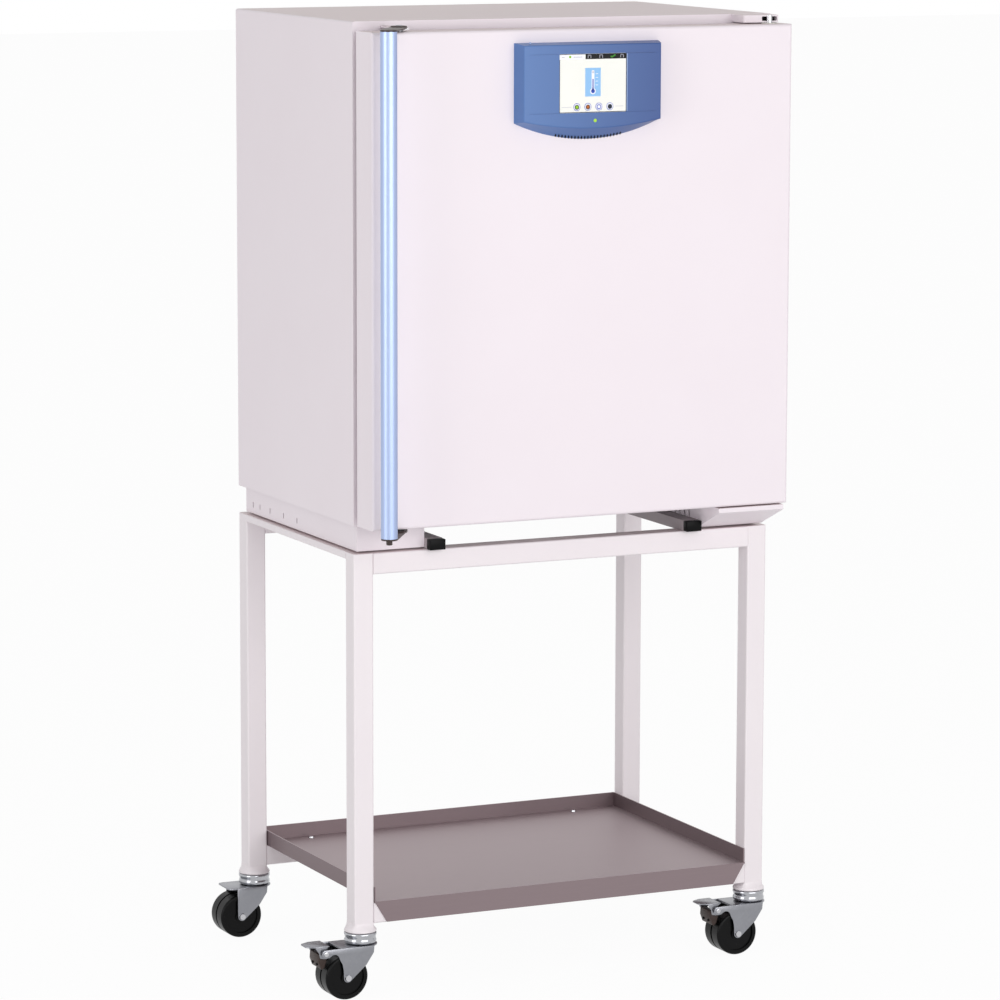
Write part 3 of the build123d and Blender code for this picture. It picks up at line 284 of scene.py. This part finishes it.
finishOf = {
    "casingCoat": ["outer_casing", "front_frame", "left_skid", "right_skid", "upper_hinge_block",
                   "lower_hinge_bracket", "door_shell", "door_inner_panel"],
    "standCoat": ["stand_legs", "cross_rails", "side_rails"],
    "galvanised": ["bottom_plate", "rear_cover", "power_module"],
    "tubeCoatPaintedShade": ["runner_tubes"],
    "chamberSteel": ["chamber_liner", "shelf_racks", "lower_shelf", "upper_shelf", "sensor_probe"],
    "brightSteel": ["hinge_pins", "latch_strikers", "glass_hinges",
                    "glass_hinge_brackets", "catch_keeper", "tray_screws", "caster_axle_front_left",
                    "caster_axle_front_right", "caster_axle_rear_left", "caster_axle_rear_right"],
    "zinc": ["lever_screws", "caster_mounts", "caster_fork_front_left", "caster_fork_front_right",
             "caster_fork_rear_left", "caster_fork_rear_right", "brake_pedal_left", "brake_pedal_right"],
    "trayMetal": ["storage_tray"],
    "handleMetal": ["handle_bar"],
    "leverMetal": ["handle_levers", "handle_plugs"],
    "panelBlue": ["panel_housing"],
    "blackPlastic": ["runner_caps", "mains_inlet", "glass_catch"],
    "bushPlastic": ["hinge_bushes"],
    "sealRubber": ["door_seal"],
    "silicone": ["chamber_gasket"],
    "foam": ["cabinet_insulation", "door_insulation"],
    "heater": ["heater_jacket"],
    "screenGlass": ["touch_screen"],
    "lensGreen": ["status_lens"],
    "paneGlass": ["glass_pane"],
    "wheelRubber": ["caster_wheel_front_left", "caster_wheel_front_right", "caster_wheel_rear_left",
                    "caster_wheel_rear_right"],
}
for finish, members in finishOf.items():
    for name in members:
        nodes[name].data.materials.clear()
        nodes[name].data.materials.append(paint[finish])
print("finishes on", sum(len(members) for members in finishOf.values()), "nodes")


# pieces are built in mesh code, in millimetres, and each rides on one body
def finishPiece(name, mesh, body, smoothAngle):
    mesh.shade_smooth()
    mesh.set_sharp_from_angle(angle=math.radians(smoothAngle))
    piece = bpy.data.objects.new(name, mesh)
    scene.collection.objects.link(piece)
    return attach(piece, body)


def newPiece(name, work, finish, body, bevelMm=0.0, smoothAngle=38):
    bmesh.ops.remove_doubles(work, verts=work.verts, dist=1e-7)
    bmesh.ops.recalc_face_normals(work, faces=work.faces)
    if bevelMm:
        sharp = [edge for edge in work.edges
                 if len(edge.link_faces) == 2 and edge.calc_face_angle(0) > 0.6]
        bmesh.ops.bevel(work, geom=sharp, offset=bevelMm * mm, segments=2, profile=0.5,
                        affect="EDGES", clamp_overlap=True)
    mesh = bpy.data.meshes.new(name)
    work.to_mesh(mesh)
    work.free()
    mesh.materials.append(paint[finish])
    return finishPiece(name, mesh, body, smoothAngle)


def prism(work, outline, low, high, plane="front"):
    # an outline pushed from low to high: front is x, z at depths, top is x, y at heights, side is y, z at x
    def point(a, b, c):
        return {"front": place(a, c, b), "top": place(a, b, c), "side": place(c, a, b)}[plane]
    lower = [work.verts.new(point(a, b, low)) for a, b in outline]
    upper = [work.verts.new(point(a, b, high)) for a, b in outline]
    count = len(outline)
    work.faces.new(lower)
    work.faces.new(upper[::-1])
    for i in range(count):
        work.faces.new((lower[i], upper[i], upper[(i + 1) % count], lower[(i + 1) % count]))


def rectangle(x0, x1, z0, z1):
    return [(x0, z0), (x1, z0), (x1, z1), (x0, z1)]


def arc(x, z, radius, start, end, steps=8):
    turns = [math.radians(start + (end - start) * i / steps) for i in range(steps + 1)]
    return [(x + radius * math.cos(turn), z + radius * math.sin(turn)) for turn in turns]


def disc(x, z, radius, steps=32):
    return arc(x, z, radius, 0, 360, steps)[:-1]


def joinRings(work, rings):  # rings of as many points each become a closed skin
    count = len(rings[0])
    for lower, upper in zip(rings, rings[1:]):
        for i in range(count):
            work.faces.new((lower[i], lower[(i + 1) % count], upper[(i + 1) % count], upper[i]))
    work.faces.new(rings[0][::-1])
    work.faces.new(rings[-1])


def lathe(work, x, y, profile, steps=40, tubeHalf=0.0, cornerReach=1.36):
    # turned about an upright axis: radius, height and how far it has grown square to meet a tube
    rings = []
    for radius, height, *squareness in profile:
        ring = []
        for i in range(steps):
            turn = 2 * math.pi * i / steps
            flat = tubeHalf / max(abs(math.cos(turn)), abs(math.sin(turn)))
            share = squareness[0] if squareness else 0.0
            reach = radius * (1 - share) + min(flat, tubeHalf * cornerReach) * share
            across, back = x + reach * math.cos(turn), y + reach * math.sin(turn)
            ring.append(work.verts.new(place(across, back, height)))
        rings.append(ring)
    joinRings(work, rings)


# the display shows a generic status page: a bar, a thermometer tile and four round buttons
display = {"left": -60.2, "right": 60.2, "bottom": 1454.3, "top": 1548.7, "face": -99.0, "film": 0.12,
           "frame": 0.8, "barHeight": 8.6, "barStart": -13.5, "tileHalf": 14, "tileLow": 1480,
           "tileHigh": 1526, "bulbHeight": 1488.5, "buttonRow": 1463.3, "buttonStep": 19.8,
           "buttonRadius": 6.2}
inks = {"inkBlack": "#0B0B0C", "inkWhite": "#F2F2F7", "inkGrey": "#A9A9B4", "inkGreen": "#3C8A2C",
        "inkLime": "#8FBF2E", "inkOrange": "#B5622A", "inkBlue": "#3C55B4", "inkDark": "#232C3A",
        "inkTile": "#8FBDE8"}
for ink, colour in inks.items():
    paint[ink] = litSkin(ink, colour, colour, 0.8, 0.12)


def statusBar(left, right, bar, top, start):
    edge = display["frame"]
    tick = [(right - 29, bar + 3.4), (right - 26.5, bar + 1.4), (right - 19, bar + 5.6),
            (right - 20.5, bar + 7.2), (right - 26.4, bar + 4), (right - 27.6, bar + 5)]
    shapes = [("inkWhite", 1, rectangle(left + edge, start - edge, bar, top - edge)),
              ("inkBlack", 1, rectangle(start, right, bar, top)),
              ("inkLime", 2, disc(left + 19, bar + 4.2, 2.1)),
              ("inkGrey", 2, rectangle(left + 4, left + 9, bar + 3, bar + 4)),
              ("inkGrey", 2, rectangle(left + 25, left + 41, bar + 3.2, bar + 4.2)),
              ("inkGreen", 2, tick)]
    for x in (start + 4, start + 25, right - 11):  # three small arch pictograms
        shapes += [("inkGrey", 2, rectangle(x, x + 1, bar + 1.6, bar + 7)),
                   ("inkGrey", 2, rectangle(x + 5, x + 6, bar + 1.6, bar + 7)),
                   ("inkGrey", 2, rectangle(x, x + 6, bar + 6, bar + 7))]
    return shapes


def buttonRow(left, right):
    row, step, radius = display["buttonRow"], display["buttonStep"], display["buttonRadius"]
    shapes = []
    for number, ink in enumerate(("inkLime", "inkOrange", "inkWhite", "inkDark")):
        x = (number - 1.45) * step
        shapes += [("inkBlue", 1, disc(x, row, radius)),
                   ("inkWhite", 2, disc(x, row, radius - 0.9)),
                   ("inkBlue" if ink == "inkWhite" else "inkDark", 3, disc(x, row - 0.3, radius - 2.2)),
                   (ink, 4, disc(x, row - 0.2, radius - 3.6))]
    for x0, x1 in ((left + 4, -1.95 * step), (2.05 * step, right - 5)):
        shapes.append(("inkGrey", 1, rectangle(x0, x1, row - 0.3, row + 0.3)))
    return shapes


def thermometerTile():
    half, bulb = display["tileHalf"], display["bulbHeight"]
    shapes = [("inkTile", 1, rectangle(-half, half, display["tileLow"], display["tileHigh"])),
              ("inkWhite", 2, rectangle(-2.4, 2.4, 1490, 1520)), ("inkWhite", 2, disc(0, 1520, 2.4)),
              ("inkWhite", 2, disc(0, bulb, 5)), ("inkBlue", 3, rectangle(-1, 1, 1489, 1508)),
              ("inkBlue", 3, disc(0, bulb, 3.4))]
    return shapes + [("inkWhite", 2, rectangle(5, 9, z, z + 0.8)) for z in (1498, 1504, 1510, 1516)]


def displayShapes():  # each is an ink, a layer above the glass and an outline
    left, right, bottom, top = (display[key] for key in ("left", "right", "bottom", "top"))
    bar, start, edge = top - display["barHeight"], display["barStart"], display["frame"]
    border = [rectangle(left, left + edge + 0.1, bottom, bar),
              rectangle(right - edge + 0.1, right, bottom, bar),
              rectangle(left, right, bottom, bottom + edge + 0.1),
              rectangle(left, start, top - edge, top)]
    shapes = [("inkBlack", 1, outline) for outline in border]
    return shapes + statusBar(left, right, bar, top, start) + buttonRow(left, right) + thermometerTile()


byInk = {}
for ink, layer, outline in displayShapes():
    byInk.setdefault(ink, []).append((layer, outline))
for ink, shapes in byInk.items():
    work = bmesh.new()
    for layer, outline in shapes:
        prism(work, outline, display["face"] + 0.02, display["face"] - layer * display["film"])
    newPiece("display_" + ink, work, ink, "door")
print("display drawn with", len(byInk), "inks")


# one node tree sets a shape on each point of a list, turned by the point's two directions, and about its
# own axis by a random angle up to Turn
def setterTree():
    tree = bpy.data.node_groups.new("setShapes", "GeometryNodeTree")
    for name, kind in (("Points", "Geometry"), ("Size", "Float"), ("Shape", "Object"), ("Turn", "Float"),
                       ("Finish", "Material")):
        tree.interface.new_socket(name, in_out="INPUT", socket_type="NodeSocket" + kind)
    tree.interface.new_socket("Solid", in_out="OUTPUT", socket_type="NodeSocketGeometry")
    given = addNode(tree, "NodeGroupInput")
    facing = addNode(tree, "GeometryNodeInputNamedAttribute", {"Name": "facing"}, data_type="FLOAT_VECTOR")
    along = addNode(tree, "GeometryNodeInputNamedAttribute", {"Name": "along"}, data_type="FLOAT_VECTOR")
    align = addNode(tree, "FunctionNodeAxesToRotation",
                    {0: facing.outputs["Attribute"], 1: along.outputs["Attribute"]},
                    primary_axis="Z", secondary_axis="X")
    spin = addNode(tree, "FunctionNodeRandomValue",
                   {2: 0.0, 3: given.outputs["Turn"], "Seed": 4}, data_type="FLOAT")
    about = addNode(tree, "ShaderNodeCombineXYZ", {"Z": spin.outputs[1]})
    turned = addNode(tree, "FunctionNodeRotateRotation",
                     {"Rotation": align.outputs["Rotation"], "Rotate By": about.outputs[0]},
                     rotation_space="LOCAL")
    shape = addNode(tree, "GeometryNodeObjectInfo", {"Object": given.outputs["Shape"]})
    setOut = addNode(tree, "GeometryNodeInstanceOnPoints",
                     {"Points": given.outputs["Points"], "Instance": shape.outputs["Geometry"],
                      "Rotation": turned.outputs["Rotation"], "Scale": given.outputs["Size"]})
    solid = addNode(tree, "GeometryNodeRealizeInstances", {"Geometry": setOut.outputs["Instances"]})
    painted = addNode(tree, "GeometryNodeSetMaterial",
                      {"Geometry": solid.outputs["Geometry"], "Material": given.outputs["Finish"]})
    addNode(tree, "NodeGroupOutput", {"Solid": painted.outputs["Geometry"]})
    return tree


setShapes = setterTree()


def socketId(name):
    return next(item.identifier for item in setShapes.interface.items_tree
                if item.name == name and item.in_out == "INPUT")


def setPiece(name, points, shape, sizeMm, turn, finish, body):
    # a point holds x, y, z in mm, which way the shape faces and, unless it is x, which way it runs
    mesh = bpy.data.meshes.new(name + "Points")
    mesh.from_pydata([place(*point[:3]) for point in points], [], [])
    facing = mesh.attributes.new("facing", "FLOAT_VECTOR", "POINT")
    along = mesh.attributes.new("along", "FLOAT_VECTOR", "POINT")
    for index, point in enumerate(points):
        facing.data[index].vector = point[3]
        along.data[index].vector = point[4] if len(point) > 4 else (1, 0, 0)
    carrier = bpy.data.objects.new(name + "Points", mesh)
    scene.collection.objects.link(carrier)
    modifier = carrier.modifiers.new("set", "NODES")
    modifier.node_group = setShapes
    for key, value in {"Size": sizeMm * mm, "Turn": turn, "Shape": shape, "Finish": paint[finish]}.items():
        modifier[socketId(key)] = value
    bpy.context.view_layer.update()
    evaluated = carrier.evaluated_get(bpy.context.evaluated_depsgraph_get())
    grown = bpy.data.meshes.new_from_object(evaluated)
    grown.name = name
    carrier.modifiers.clear()
    bpy.data.objects.remove(carrier)
    return finishPiece(name, grown, body, 40)


def loneShape(name, work):  # a shape for the tree to set, removed again after use
    bmesh.ops.recalc_face_normals(work, faces=work.faces)
    mesh = bpy.data.meshes.new(name)
    work.to_mesh(mesh)
    work.free()
    shape = bpy.data.objects.new(name, mesh)
    scene.collection.objects.link(shape)
    return shape


# screws of the rear cover and of the latch strikers
screws = {"height": 0.34, "socket": 0.2, "socketDepth": 0.2, "sides": 24, "turn": 1.05,
          "profile": ((0.5, 0.0), (0.5, 0.45), (0.43, 0.82), (0.31, 1.0))}


def screwHead():  # a pan head one metre across with a hexagon socket, scaled where it is set
    work = bmesh.new()
    sides, top = screws["sides"], screws["height"]
    rings = []
    for radius, share in screws["profile"]:
        rings.append([work.verts.new((x, y, top * share)) for x, y in disc(0, 0, radius, sides)])
    for depth in (0.0, screws["socketDepth"]):
        ring = []
        for i in range(sides):
            angle = 2 * math.pi * i / sides
            flat = screws["socket"] / math.cos((angle % (math.pi / 3)) - math.pi / 6)
            ring.append(work.verts.new((flat * math.cos(angle), flat * math.sin(angle), top - depth)))
        rings.append(ring)
    joinRings(work, rings)
    return loneShape("screwHead", work)


back, front = (0, 1, 0), (0, -1, 0)
coverScrews = {"halfX": 362, "halfZ": 390, "middle": 1195, "depth": 500, "acrossCount": 5, "upCount": 4,
               "diameter": 8.5}
strikerScrews = {"across": (-305, -292), "heights": (1584, 794.5), "depth": -2.5, "diameter": 5.5}
halfX, halfZ, middle, depth = (coverScrews[key] for key in ("halfX", "halfZ", "middle", "depth"))
rim = []
for i in range(coverScrews["acrossCount"]):
    x = -halfX + 2 * halfX * i / (coverScrews["acrossCount"] - 1)
    rim += [(x, depth, middle + side * halfZ, back) for side in (-1, 1)]
for i in range(1, coverScrews["upCount"]):
    z = middle - halfZ + 2 * halfZ * i / coverScrews["upCount"]
    rim += [(side * halfX, depth, z, back) for side in (-1, 1)]
strikers = [(x, strikerScrews["depth"], z, front) for x in strikerScrews["across"]
            for z in strikerScrews["heights"]]
headShape = screwHead()
for name, points, diameter in (("rear_cover_screws", rim, coverScrews["diameter"]),
                               ("striker_screws", strikers, strikerScrews["diameter"])):
    setPiece(name, points, headShape, diameter, screws["turn"], "brightSteel", "cabinet_and_stand")
bpy.data.objects.remove(headShape)
print("screws set:", len(rim) + len(strikers))

# casters: a turned race, a pressed fork with a rounded plate, and on the front ones a pedal with its shoe;
# race and collar are radius and height, while cheek, ear and shoe are drawn from the wheel's centre
caster = {"across": 362.5, "depths": {"front": 17.5, "rear": 482.5}, "trail": 34, "axleHeight": 37.5,
          "plateTop": 88.2, "sheet": 2.5, "halfInside": 26, "headRadius": 27.9, "footRadius": 7.5,
          "cornerRadius": 8, "plateReach": {"front": 12, "rear": 24}, "cheekTop": 50.6, "tubeHalf": 17.7}
race = [(20, 107.9), (25.6, 107.4), (27, 106.2), (27, 103.2), (26, 101), (25.5, 99), (26, 96.6),
        (26.8, 94.4), (26.6, 91.6), (25.2, 89.4), (22.5, 88.5), (20, 88.3)]
collar = [(22, 108.1, 0.0), (25.8, 108.2, 0.0), (26.8, 109.0, 0.0), (27, 110.4, 0.0), (26.7, 112.5, 0.1),
          (26, 115.5, 0.35), (25, 119, 0.7), (24.2, 122, 0.94), (24, 123.2, 1.0)]


def forkPlate(swivelX, depth, left, outer):
    corner = caster["cornerRadius"]
    return arc(swivelX, depth, caster["headRadius"], -90, 90, 20) + \
        arc(left + corner, depth + outer - corner, corner, 90, 180, 6) + \
        arc(left + corner, depth - outer + corner, corner, 180, 270, 6)


def forkCheek(braked):  # the braked one reaches out round the pedal's rivet
    top = caster["cheekTop"]
    foot = arc(0, 0, caster["footRadius"], -40, -180, 10)
    left = [(-8, 6), (-8, top)]
    if braked:
        left = [(-8, 14), (-10, 24), (-14, 31), *arc(-24, 32.5, 9, 10, 110, 5), (-31, 38.5), (-34, 36.5),
                *arc(-39, 43.5, 7.2, 300, 110, 10), (-30, top)]
    return [(33, 19), *foot, *left, (47.6, top), (46.5, 39)]


def dressCaster(corner, swivelX, depth, reach, braked):
    wheelX, axleZ = swivelX - caster["trail"], caster["axleHeight"]
    inside, outer = caster["halfInside"], caster["halfInside"] + caster["sheet"]
    work = bmesh.new()
    prism(work, forkPlate(swivelX, depth, wheelX - reach, outer), caster["plateTop"] - caster["sheet"],
          caster["plateTop"], "top")
    cheek = [(wheelX + x, axleZ + z) for x, z in forkCheek(braked)]
    prism(work, cheek, depth - outer, depth - inside)
    prism(work, cheek, depth + inside, depth + outer)
    fork = newPiece("pressed_fork_" + corner, work, "zinc", "fork_" + corner, 0.9)
    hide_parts("caster_fork_" + corner)
    work = bmesh.new()
    lathe(work, swivelX, depth, race)
    ring = newPiece("swivel_race_" + corner, work, "raceZinc", "cabinet_and_stand", smoothAngle=50)
    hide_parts("caster_mounts")
    work = bmesh.new()
    lathe(work, swivelX, depth, collar, tubeHalf=caster["tubeHalf"])
    newPiece("leg_collar_" + corner, work, "standCoat", "cabinet_and_stand", smoothAngle=60)


pedal = {"nose": -68.4, "tip": -66, "wide": -52, "root": -30, "noseHalf": 9.5, "tipHalf": 13,
         "rootHalf": 21, "low": 53.6, "sheet": 2.0,
         "pivotX": -39, "pivotZ": 44, "rivetRadius": 4.2, "rivetIn": 20, "rivetOut": 30.6, "shoeHalf": 20,
         "studAcross": 9, "studZ": 24.5, "studRadius": 2.3, "studFront": -49, "studBack": -44}
ear = [(-55, 54.2), (-48, 44), (-47, 36), (-38, 34), *arc(-39, 44, 6, 280, 420, 6), (-31, 54.2)]
shoe = [(-49, 30), (-44.5, 17.5), (-42.5, 16.3), (-38.2, 20.2), (-35, 30), (-34.5, 38), (-38, 42),
        (-48, 42)]


def tongueOutline(wheelX, depth):  # one edge from tip to root, the other back again, then the blunt nose
    edge = [(pedal["tip"], pedal["tipHalf"]), (pedal["wide"], pedal["rootHalf"]),
            (pedal["root"], pedal["rootHalf"])]
    nose, noseHalf = wheelX + pedal["nose"], pedal["noseHalf"]
    return [(wheelX + x, depth - y) for x, y in edge] + [(wheelX + x, depth + y) for x, y in edge[::-1]] + \
        [(nose, depth + noseHalf), (nose, depth - noseHalf)]


def dressBrake(side, wheelX, depth):
    axleZ, body = caster["axleHeight"], "brake_" + side
    work = bmesh.new()
    low = axleZ + pedal["low"]
    prism(work, tongueOutline(wheelX, depth), low, low + pedal["sheet"], "top")
    placedEar = [(wheelX + x, axleZ + z) for x, z in ear]
    for near in (-pedal["rootHalf"], pedal["rootHalf"] - pedal["sheet"]):
        prism(work, placedEar, depth + near, depth + near + pedal["sheet"])
    pressed = newPiece("foot_pedal_" + side, work, "zinc", body, 0.6)
    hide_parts("brake_pedal_" + side)
    work = bmesh.new()
    placedShoe = [(wheelX + x, axleZ + z) for x, z in shoe]
    prism(work, placedShoe, depth - pedal["shoeHalf"], depth + pedal["shoeHalf"])
    newPiece("brake_shoe_" + side, work, "shoeRubber", body, 1.2)
    work = bmesh.new()
    for across in (-pedal["studAcross"], pedal["studAcross"]):
        stud = disc(depth + across, axleZ + pedal["studZ"], pedal["studRadius"], 16)
        prism(work, stud, wheelX + pedal["studFront"], wheelX + pedal["studBack"], "side")
    newPiece("shoe_rivets_" + side, work, "paintedShadeAndDarkStuds", body)
    work = bmesh.new()
    rivet = disc(wheelX + pedal["pivotX"], axleZ + pedal["pivotZ"], pedal["rivetRadius"], 24)
    prism(work, rivet, depth - pedal["rivetOut"], depth - pedal["rivetIn"])
    prism(work, rivet, depth + pedal["rivetIn"], depth + pedal["rivetOut"])
    newPiece("brake_rivet_" + side, work, "brightSteel", body, 1.0)


for row, depth in caster["depths"].items():
    for hand, side in ((-1, "left"), (1, "right")):
        reach = caster["plateReach"][row]
        dressCaster(f"{row}_{side}", hand * caster["across"], depth, reach, row == "front")
for hand, side in ((-1, "left"), (1, "right")):
    dressBrake(side, hand * caster["across"] - caster["trail"], caster["depths"]["front"])
print("casters dressed")

# moulded caps on the front ends of the runner tubes
caps = {"across": 236, "half": 14, "low": 740.2, "high": 757.8, "front": -13.8, "back": -0.1}
work = bmesh.new()
for middle in (-caps["across"], caps["across"]):
    face = rectangle(middle - caps["half"], middle + caps["half"], caps["low"], caps["high"])
    prism(work, face, caps["front"], caps["back"])
moulded = newPiece("moulded_caps", work, "blackPlastic", "cabinet_and_stand", 1.2)
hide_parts("runner_caps")

# control panel: a comb of vents on the slope below its front, drawn as dark ovals of painted shade,
# its catch on top, and the screen's pale edge, a painted highlight
panel = {"baseHalf": 130, "baseLow": 1410, "baseSag": 28, "baseDepth": -75,
         "frontHalf": 123, "frontLow": 1430, "frontSag": 12, "depth": 25}
comb = {"count": 21, "fromX": -57, "toX": 60, "length": 10, "width": 2.7, "thick": 0.03, "share": 0.13,
        "slant": 0.35, "proud": 0.5}


def combSlot():  # an oval one metre long, scaled where it is set
    work = bmesh.new()
    bmesh.ops.create_circle(work, cap_ends=True, segments=12, radius=0.5)
    for vertex in work.verts:
        vertex.co.y *= comb["width"] / comb["length"]
    for item in bmesh.ops.extrude_face_region(work, geom=list(work.faces))["geom"]:
        if isinstance(item, bmesh.types.BMVert):
            item.co.z += comb["thick"]
    return loneShape("combSlot", work)


# each vent is a thin dark oval laid 0.5 mm proud of the slope: painted shade in place of the opening
slots = []
for i in range(comb["count"]):
    x = comb["fromX"] + (comb["toX"] - comb["fromX"]) * i / (comb["count"] - 1)
    low = panel["baseLow"] + panel["baseSag"] * (x / panel["baseHalf"]) ** 2
    rise = panel["frontLow"] + panel["frontSag"] * (x / panel["frontHalf"]) ** 2 - low
    slope = Vector((0, -panel["depth"], rise))
    outward = Vector((0, -rise, -panel["depth"])).normalized()
    seat = Vector((x, panel["baseDepth"], low)) + slope * comb["share"] + outward * comb["proud"]
    slope.normalize()
    slots.append((*seat, outward, slope.cross(outward) * comb["slant"] - slope))
slotShape = combSlot()
setPiece("panel_comb", slots, slotShape, comb["length"], 0.0, "paintedShadeAndDarkStuds", "door")
bpy.data.objects.remove(slotShape)
# the screen's pale edge is a painted highlight: a pale strip where light catches the edge of its recess
trim = {"catch": (-109, -106.6, 1566, 1568.8), "catchDepths": (-90, -87),
        "screenEdgeHighlight": (60.8, 61.8, 1455, 1548), "edgeDepths": (-99.6, -100.08)}
work = bmesh.new()
prism(work, rectangle(*trim["catch"]), *trim["catchDepths"])
prism(work, rectangle(*trim["screenEdgeHighlight"]), *trim["edgeDepths"])
newPiece("panel_trim", work, "paleCatchAndEdgeHighlight", "door")

# painted shade: a dark sheet at the back of the window in the upper hinge, behind its pin
window = {"face": (338.4, 365.6, 1593, 1600), "depths": (-35.7, -35.05)}
work = bmesh.new()
prism(work, rectangle(*window["face"]), *window["depths"])
newPiece("hinge_window_back", work, "paintedShadeAndDarkStuds", "cabinet_and_stand")

# lever plates with a round boss over each pivot; their hooks run on behind the door's edge
lever = {"barX": -371.7, "barY": -125, "pivotX": -319.7, "pivotY": -47, "radius": 13.4, "thick": 2.8,
         "upper": 1592.5, "lower": 784.5,
         "boss": ((13.2, 2.8), (13.3, 3.9), (12.6, 4.7), (6.9, 4.7), (6.8, 3.4))}
hook = {"left": -331.1, "armRight": -321.3, "barRight": -312.8, "armFront": -47, "barFront": -5.3,
        "back": -1}


def leverOutline():
    run, rise = lever["pivotX"] - lever["barX"], lever["pivotY"] - lever["barY"]
    heading = math.degrees(math.atan2(rise, run))
    barEnd = arc(lever["barX"], lever["barY"], lever["radius"], heading + 90, heading + 270, 16)
    return barEnd + arc(lever["pivotX"], lever["pivotY"], lever["radius"], heading - 90, heading + 90, 16)


plates, hooks = bmesh.new(), bmesh.new()
arm = rectangle(hook["left"], hook["armRight"], hook["armFront"], hook["back"])
bar = rectangle(hook["left"], hook["barRight"], hook["barFront"], hook["back"])
levels = ((lever["upper"], 1), (lever["lower"], -1))
for face, outward in levels:
    low, high = sorted((face, face + outward * lever["thick"]))
    prism(plates, leverOutline(), low, high, "top")
    prism(hooks, arm, low, high, "top")
    prism(hooks, bar, low, high, "top")
for face, outward in levels:
    boss = [(radius, face + outward * rise) for radius, rise in lever["boss"]]
    lathe(plates, lever["pivotX"], lever["pivotY"], boss)
leverPlates = newPiece("lever_plates", plates, "leverMetal", "handle", 0.5)
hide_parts("handle_levers")
latchHooks = newPiece("latch_hooks", hooks, "casingCoat", "handle", 0.3)
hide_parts("handle_levers")
print("caps, panel and levers dressed")

# camera, light and floor
view = {"heading": 25.097, "tilt": 8.612, "roll": 0.127, "lens": 166.52, "sensor": 36, "farClip": 60,
        "eye": (-3311.3, -6818.3, 1954.1)}
heading, tilt, roll = (math.radians(view[key]) for key in ("heading", "tilt", "roll"))
ahead = Vector((math.sin(heading) * math.cos(tilt), math.cos(heading) * math.cos(tilt), -math.sin(tilt)))
flatRight = Vector((math.cos(heading), -math.sin(heading), 0))
flatUp = flatRight.cross(ahead)
viewRight = flatRight * math.cos(roll) + flatUp * math.sin(roll)
viewUp = flatUp * math.cos(roll) - flatRight * math.sin(roll)
cameraData = bpy.data.cameras.new("camera")
cameraData.lens = view["lens"]
cameraData.sensor_width = view["sensor"]
cameraData.sensor_fit = "HORIZONTAL"
cameraData.clip_end = view["farClip"]
camera = bpy.data.objects.new("camera", cameraData)
turn = Matrix((viewRight, viewUp, -ahead)).transposed().to_4x4()
camera.matrix_world = Matrix.Translation(place(*view["eye"])) @ turn
scene.collection.objects.link(camera)
scene.camera = camera

# lamps are in metres from the frame's origin; the floor glows for the camera and in reflections
studio = {"worldLevel": 0.5, "target": (0, 0, 0.9), "floorHalf": 30, "floorGlow": 0.955,
          "keyWatts": 122, "keyPlace": (0.6, -5.4, 2.0), "keySize": (4.6, 3.0),
          "sideWatts": 52, "sidePlace": (-4.6, -1.6, 1.6), "sideSize": (2.0, 2.6)}
scene.view_settings.view_transform = "Standard"
world = bpy.data.worlds.new("studio")
world.use_nodes = True
scene.world = world
tree = world.node_tree
tree.nodes.clear()
path = addNode(tree, "ShaderNodeLightPath")
seen = addNode(tree, "ShaderNodeMath",
               {0: path.outputs["Is Camera Ray"], 1: path.outputs["Is Glossy Ray"]}, operation="MAXIMUM")
seen = addNode(tree, "ShaderNodeMath",
               {0: seen.outputs[0], 1: path.outputs["Is Transmission Ray"]}, operation="MAXIMUM")
level = addNode(tree, "ShaderNodeMapRange",
                {"Value": seen.outputs[0], "To Min": studio["worldLevel"], "To Max": 1.0})
sky = addNode(tree, "ShaderNodeBackground",
              {"Color": (1, 1, 1, 1), "Strength": level.outputs["Result"]})
addNode(tree, "ShaderNodeOutputWorld", {"Surface": sky.outputs["Background"]})


def softLamp(name):
    lampData = bpy.data.lights.new(name + "Lamp", "AREA")
    lampData.shape = "RECTANGLE"
    lampData.size, lampData.size_y = studio[name + "Size"]
    lampData.energy = studio[name + "Watts"]
    lamp = bpy.data.objects.new(name + "Lamp", lampData)
    where = Vector(studio[name + "Place"])
    lamp.location = where
    lamp.rotation_euler = (Vector(studio["target"]) - where).to_track_quat("-Z", "Y").to_euler()
    scene.collection.objects.link(lamp)


softLamp("key")
softLamp("side")

floorMesh = bpy.data.meshes.new("studioFloor")
half = studio["floorHalf"]
corners = [(-half, -half, 0), (half, -half, 0), (half, half, 0), (-half, half, 0)]
floorMesh.from_pydata(corners, [], [(0, 1, 2, 3)])
floor = bpy.data.objects.new("studioFloor", floorMesh)
scene.collection.objects.link(floor)
floorPaint = bpy.data.materials.new("studioFloorPaper")
floorPaint.use_nodes = True
tree = floorPaint.node_tree
tree.nodes.clear()
path = addNode(tree, "ShaderNodeLightPath")
paper = addNode(tree, "ShaderNodeBsdfDiffuse", {"Color": (0.94, 0.94, 0.94, 1)})
glow = addNode(tree, "ShaderNodeEmission", {"Color": (1, 1, 1, 1), "Strength": 1.0})
seen = addNode(tree, "ShaderNodeMath",
               {0: path.outputs["Is Camera Ray"], 1: path.outputs["Is Glossy Ray"]}, operation="MAXIMUM")
share = addNode(tree, "ShaderNodeMath",
                {0: seen.outputs[0], 1: studio["floorGlow"]}, operation="MULTIPLY")
mixed = addNode(tree, "ShaderNodeMixShader",
                {0: share.outputs[0], 1: paper.outputs[0], 2: glow.outputs[0]})
addNode(tree, "ShaderNodeOutputMaterial", {"Surface": mixed.outputs[0]})
floorMesh.materials.append(floorPaint)
print("camera and studio set")
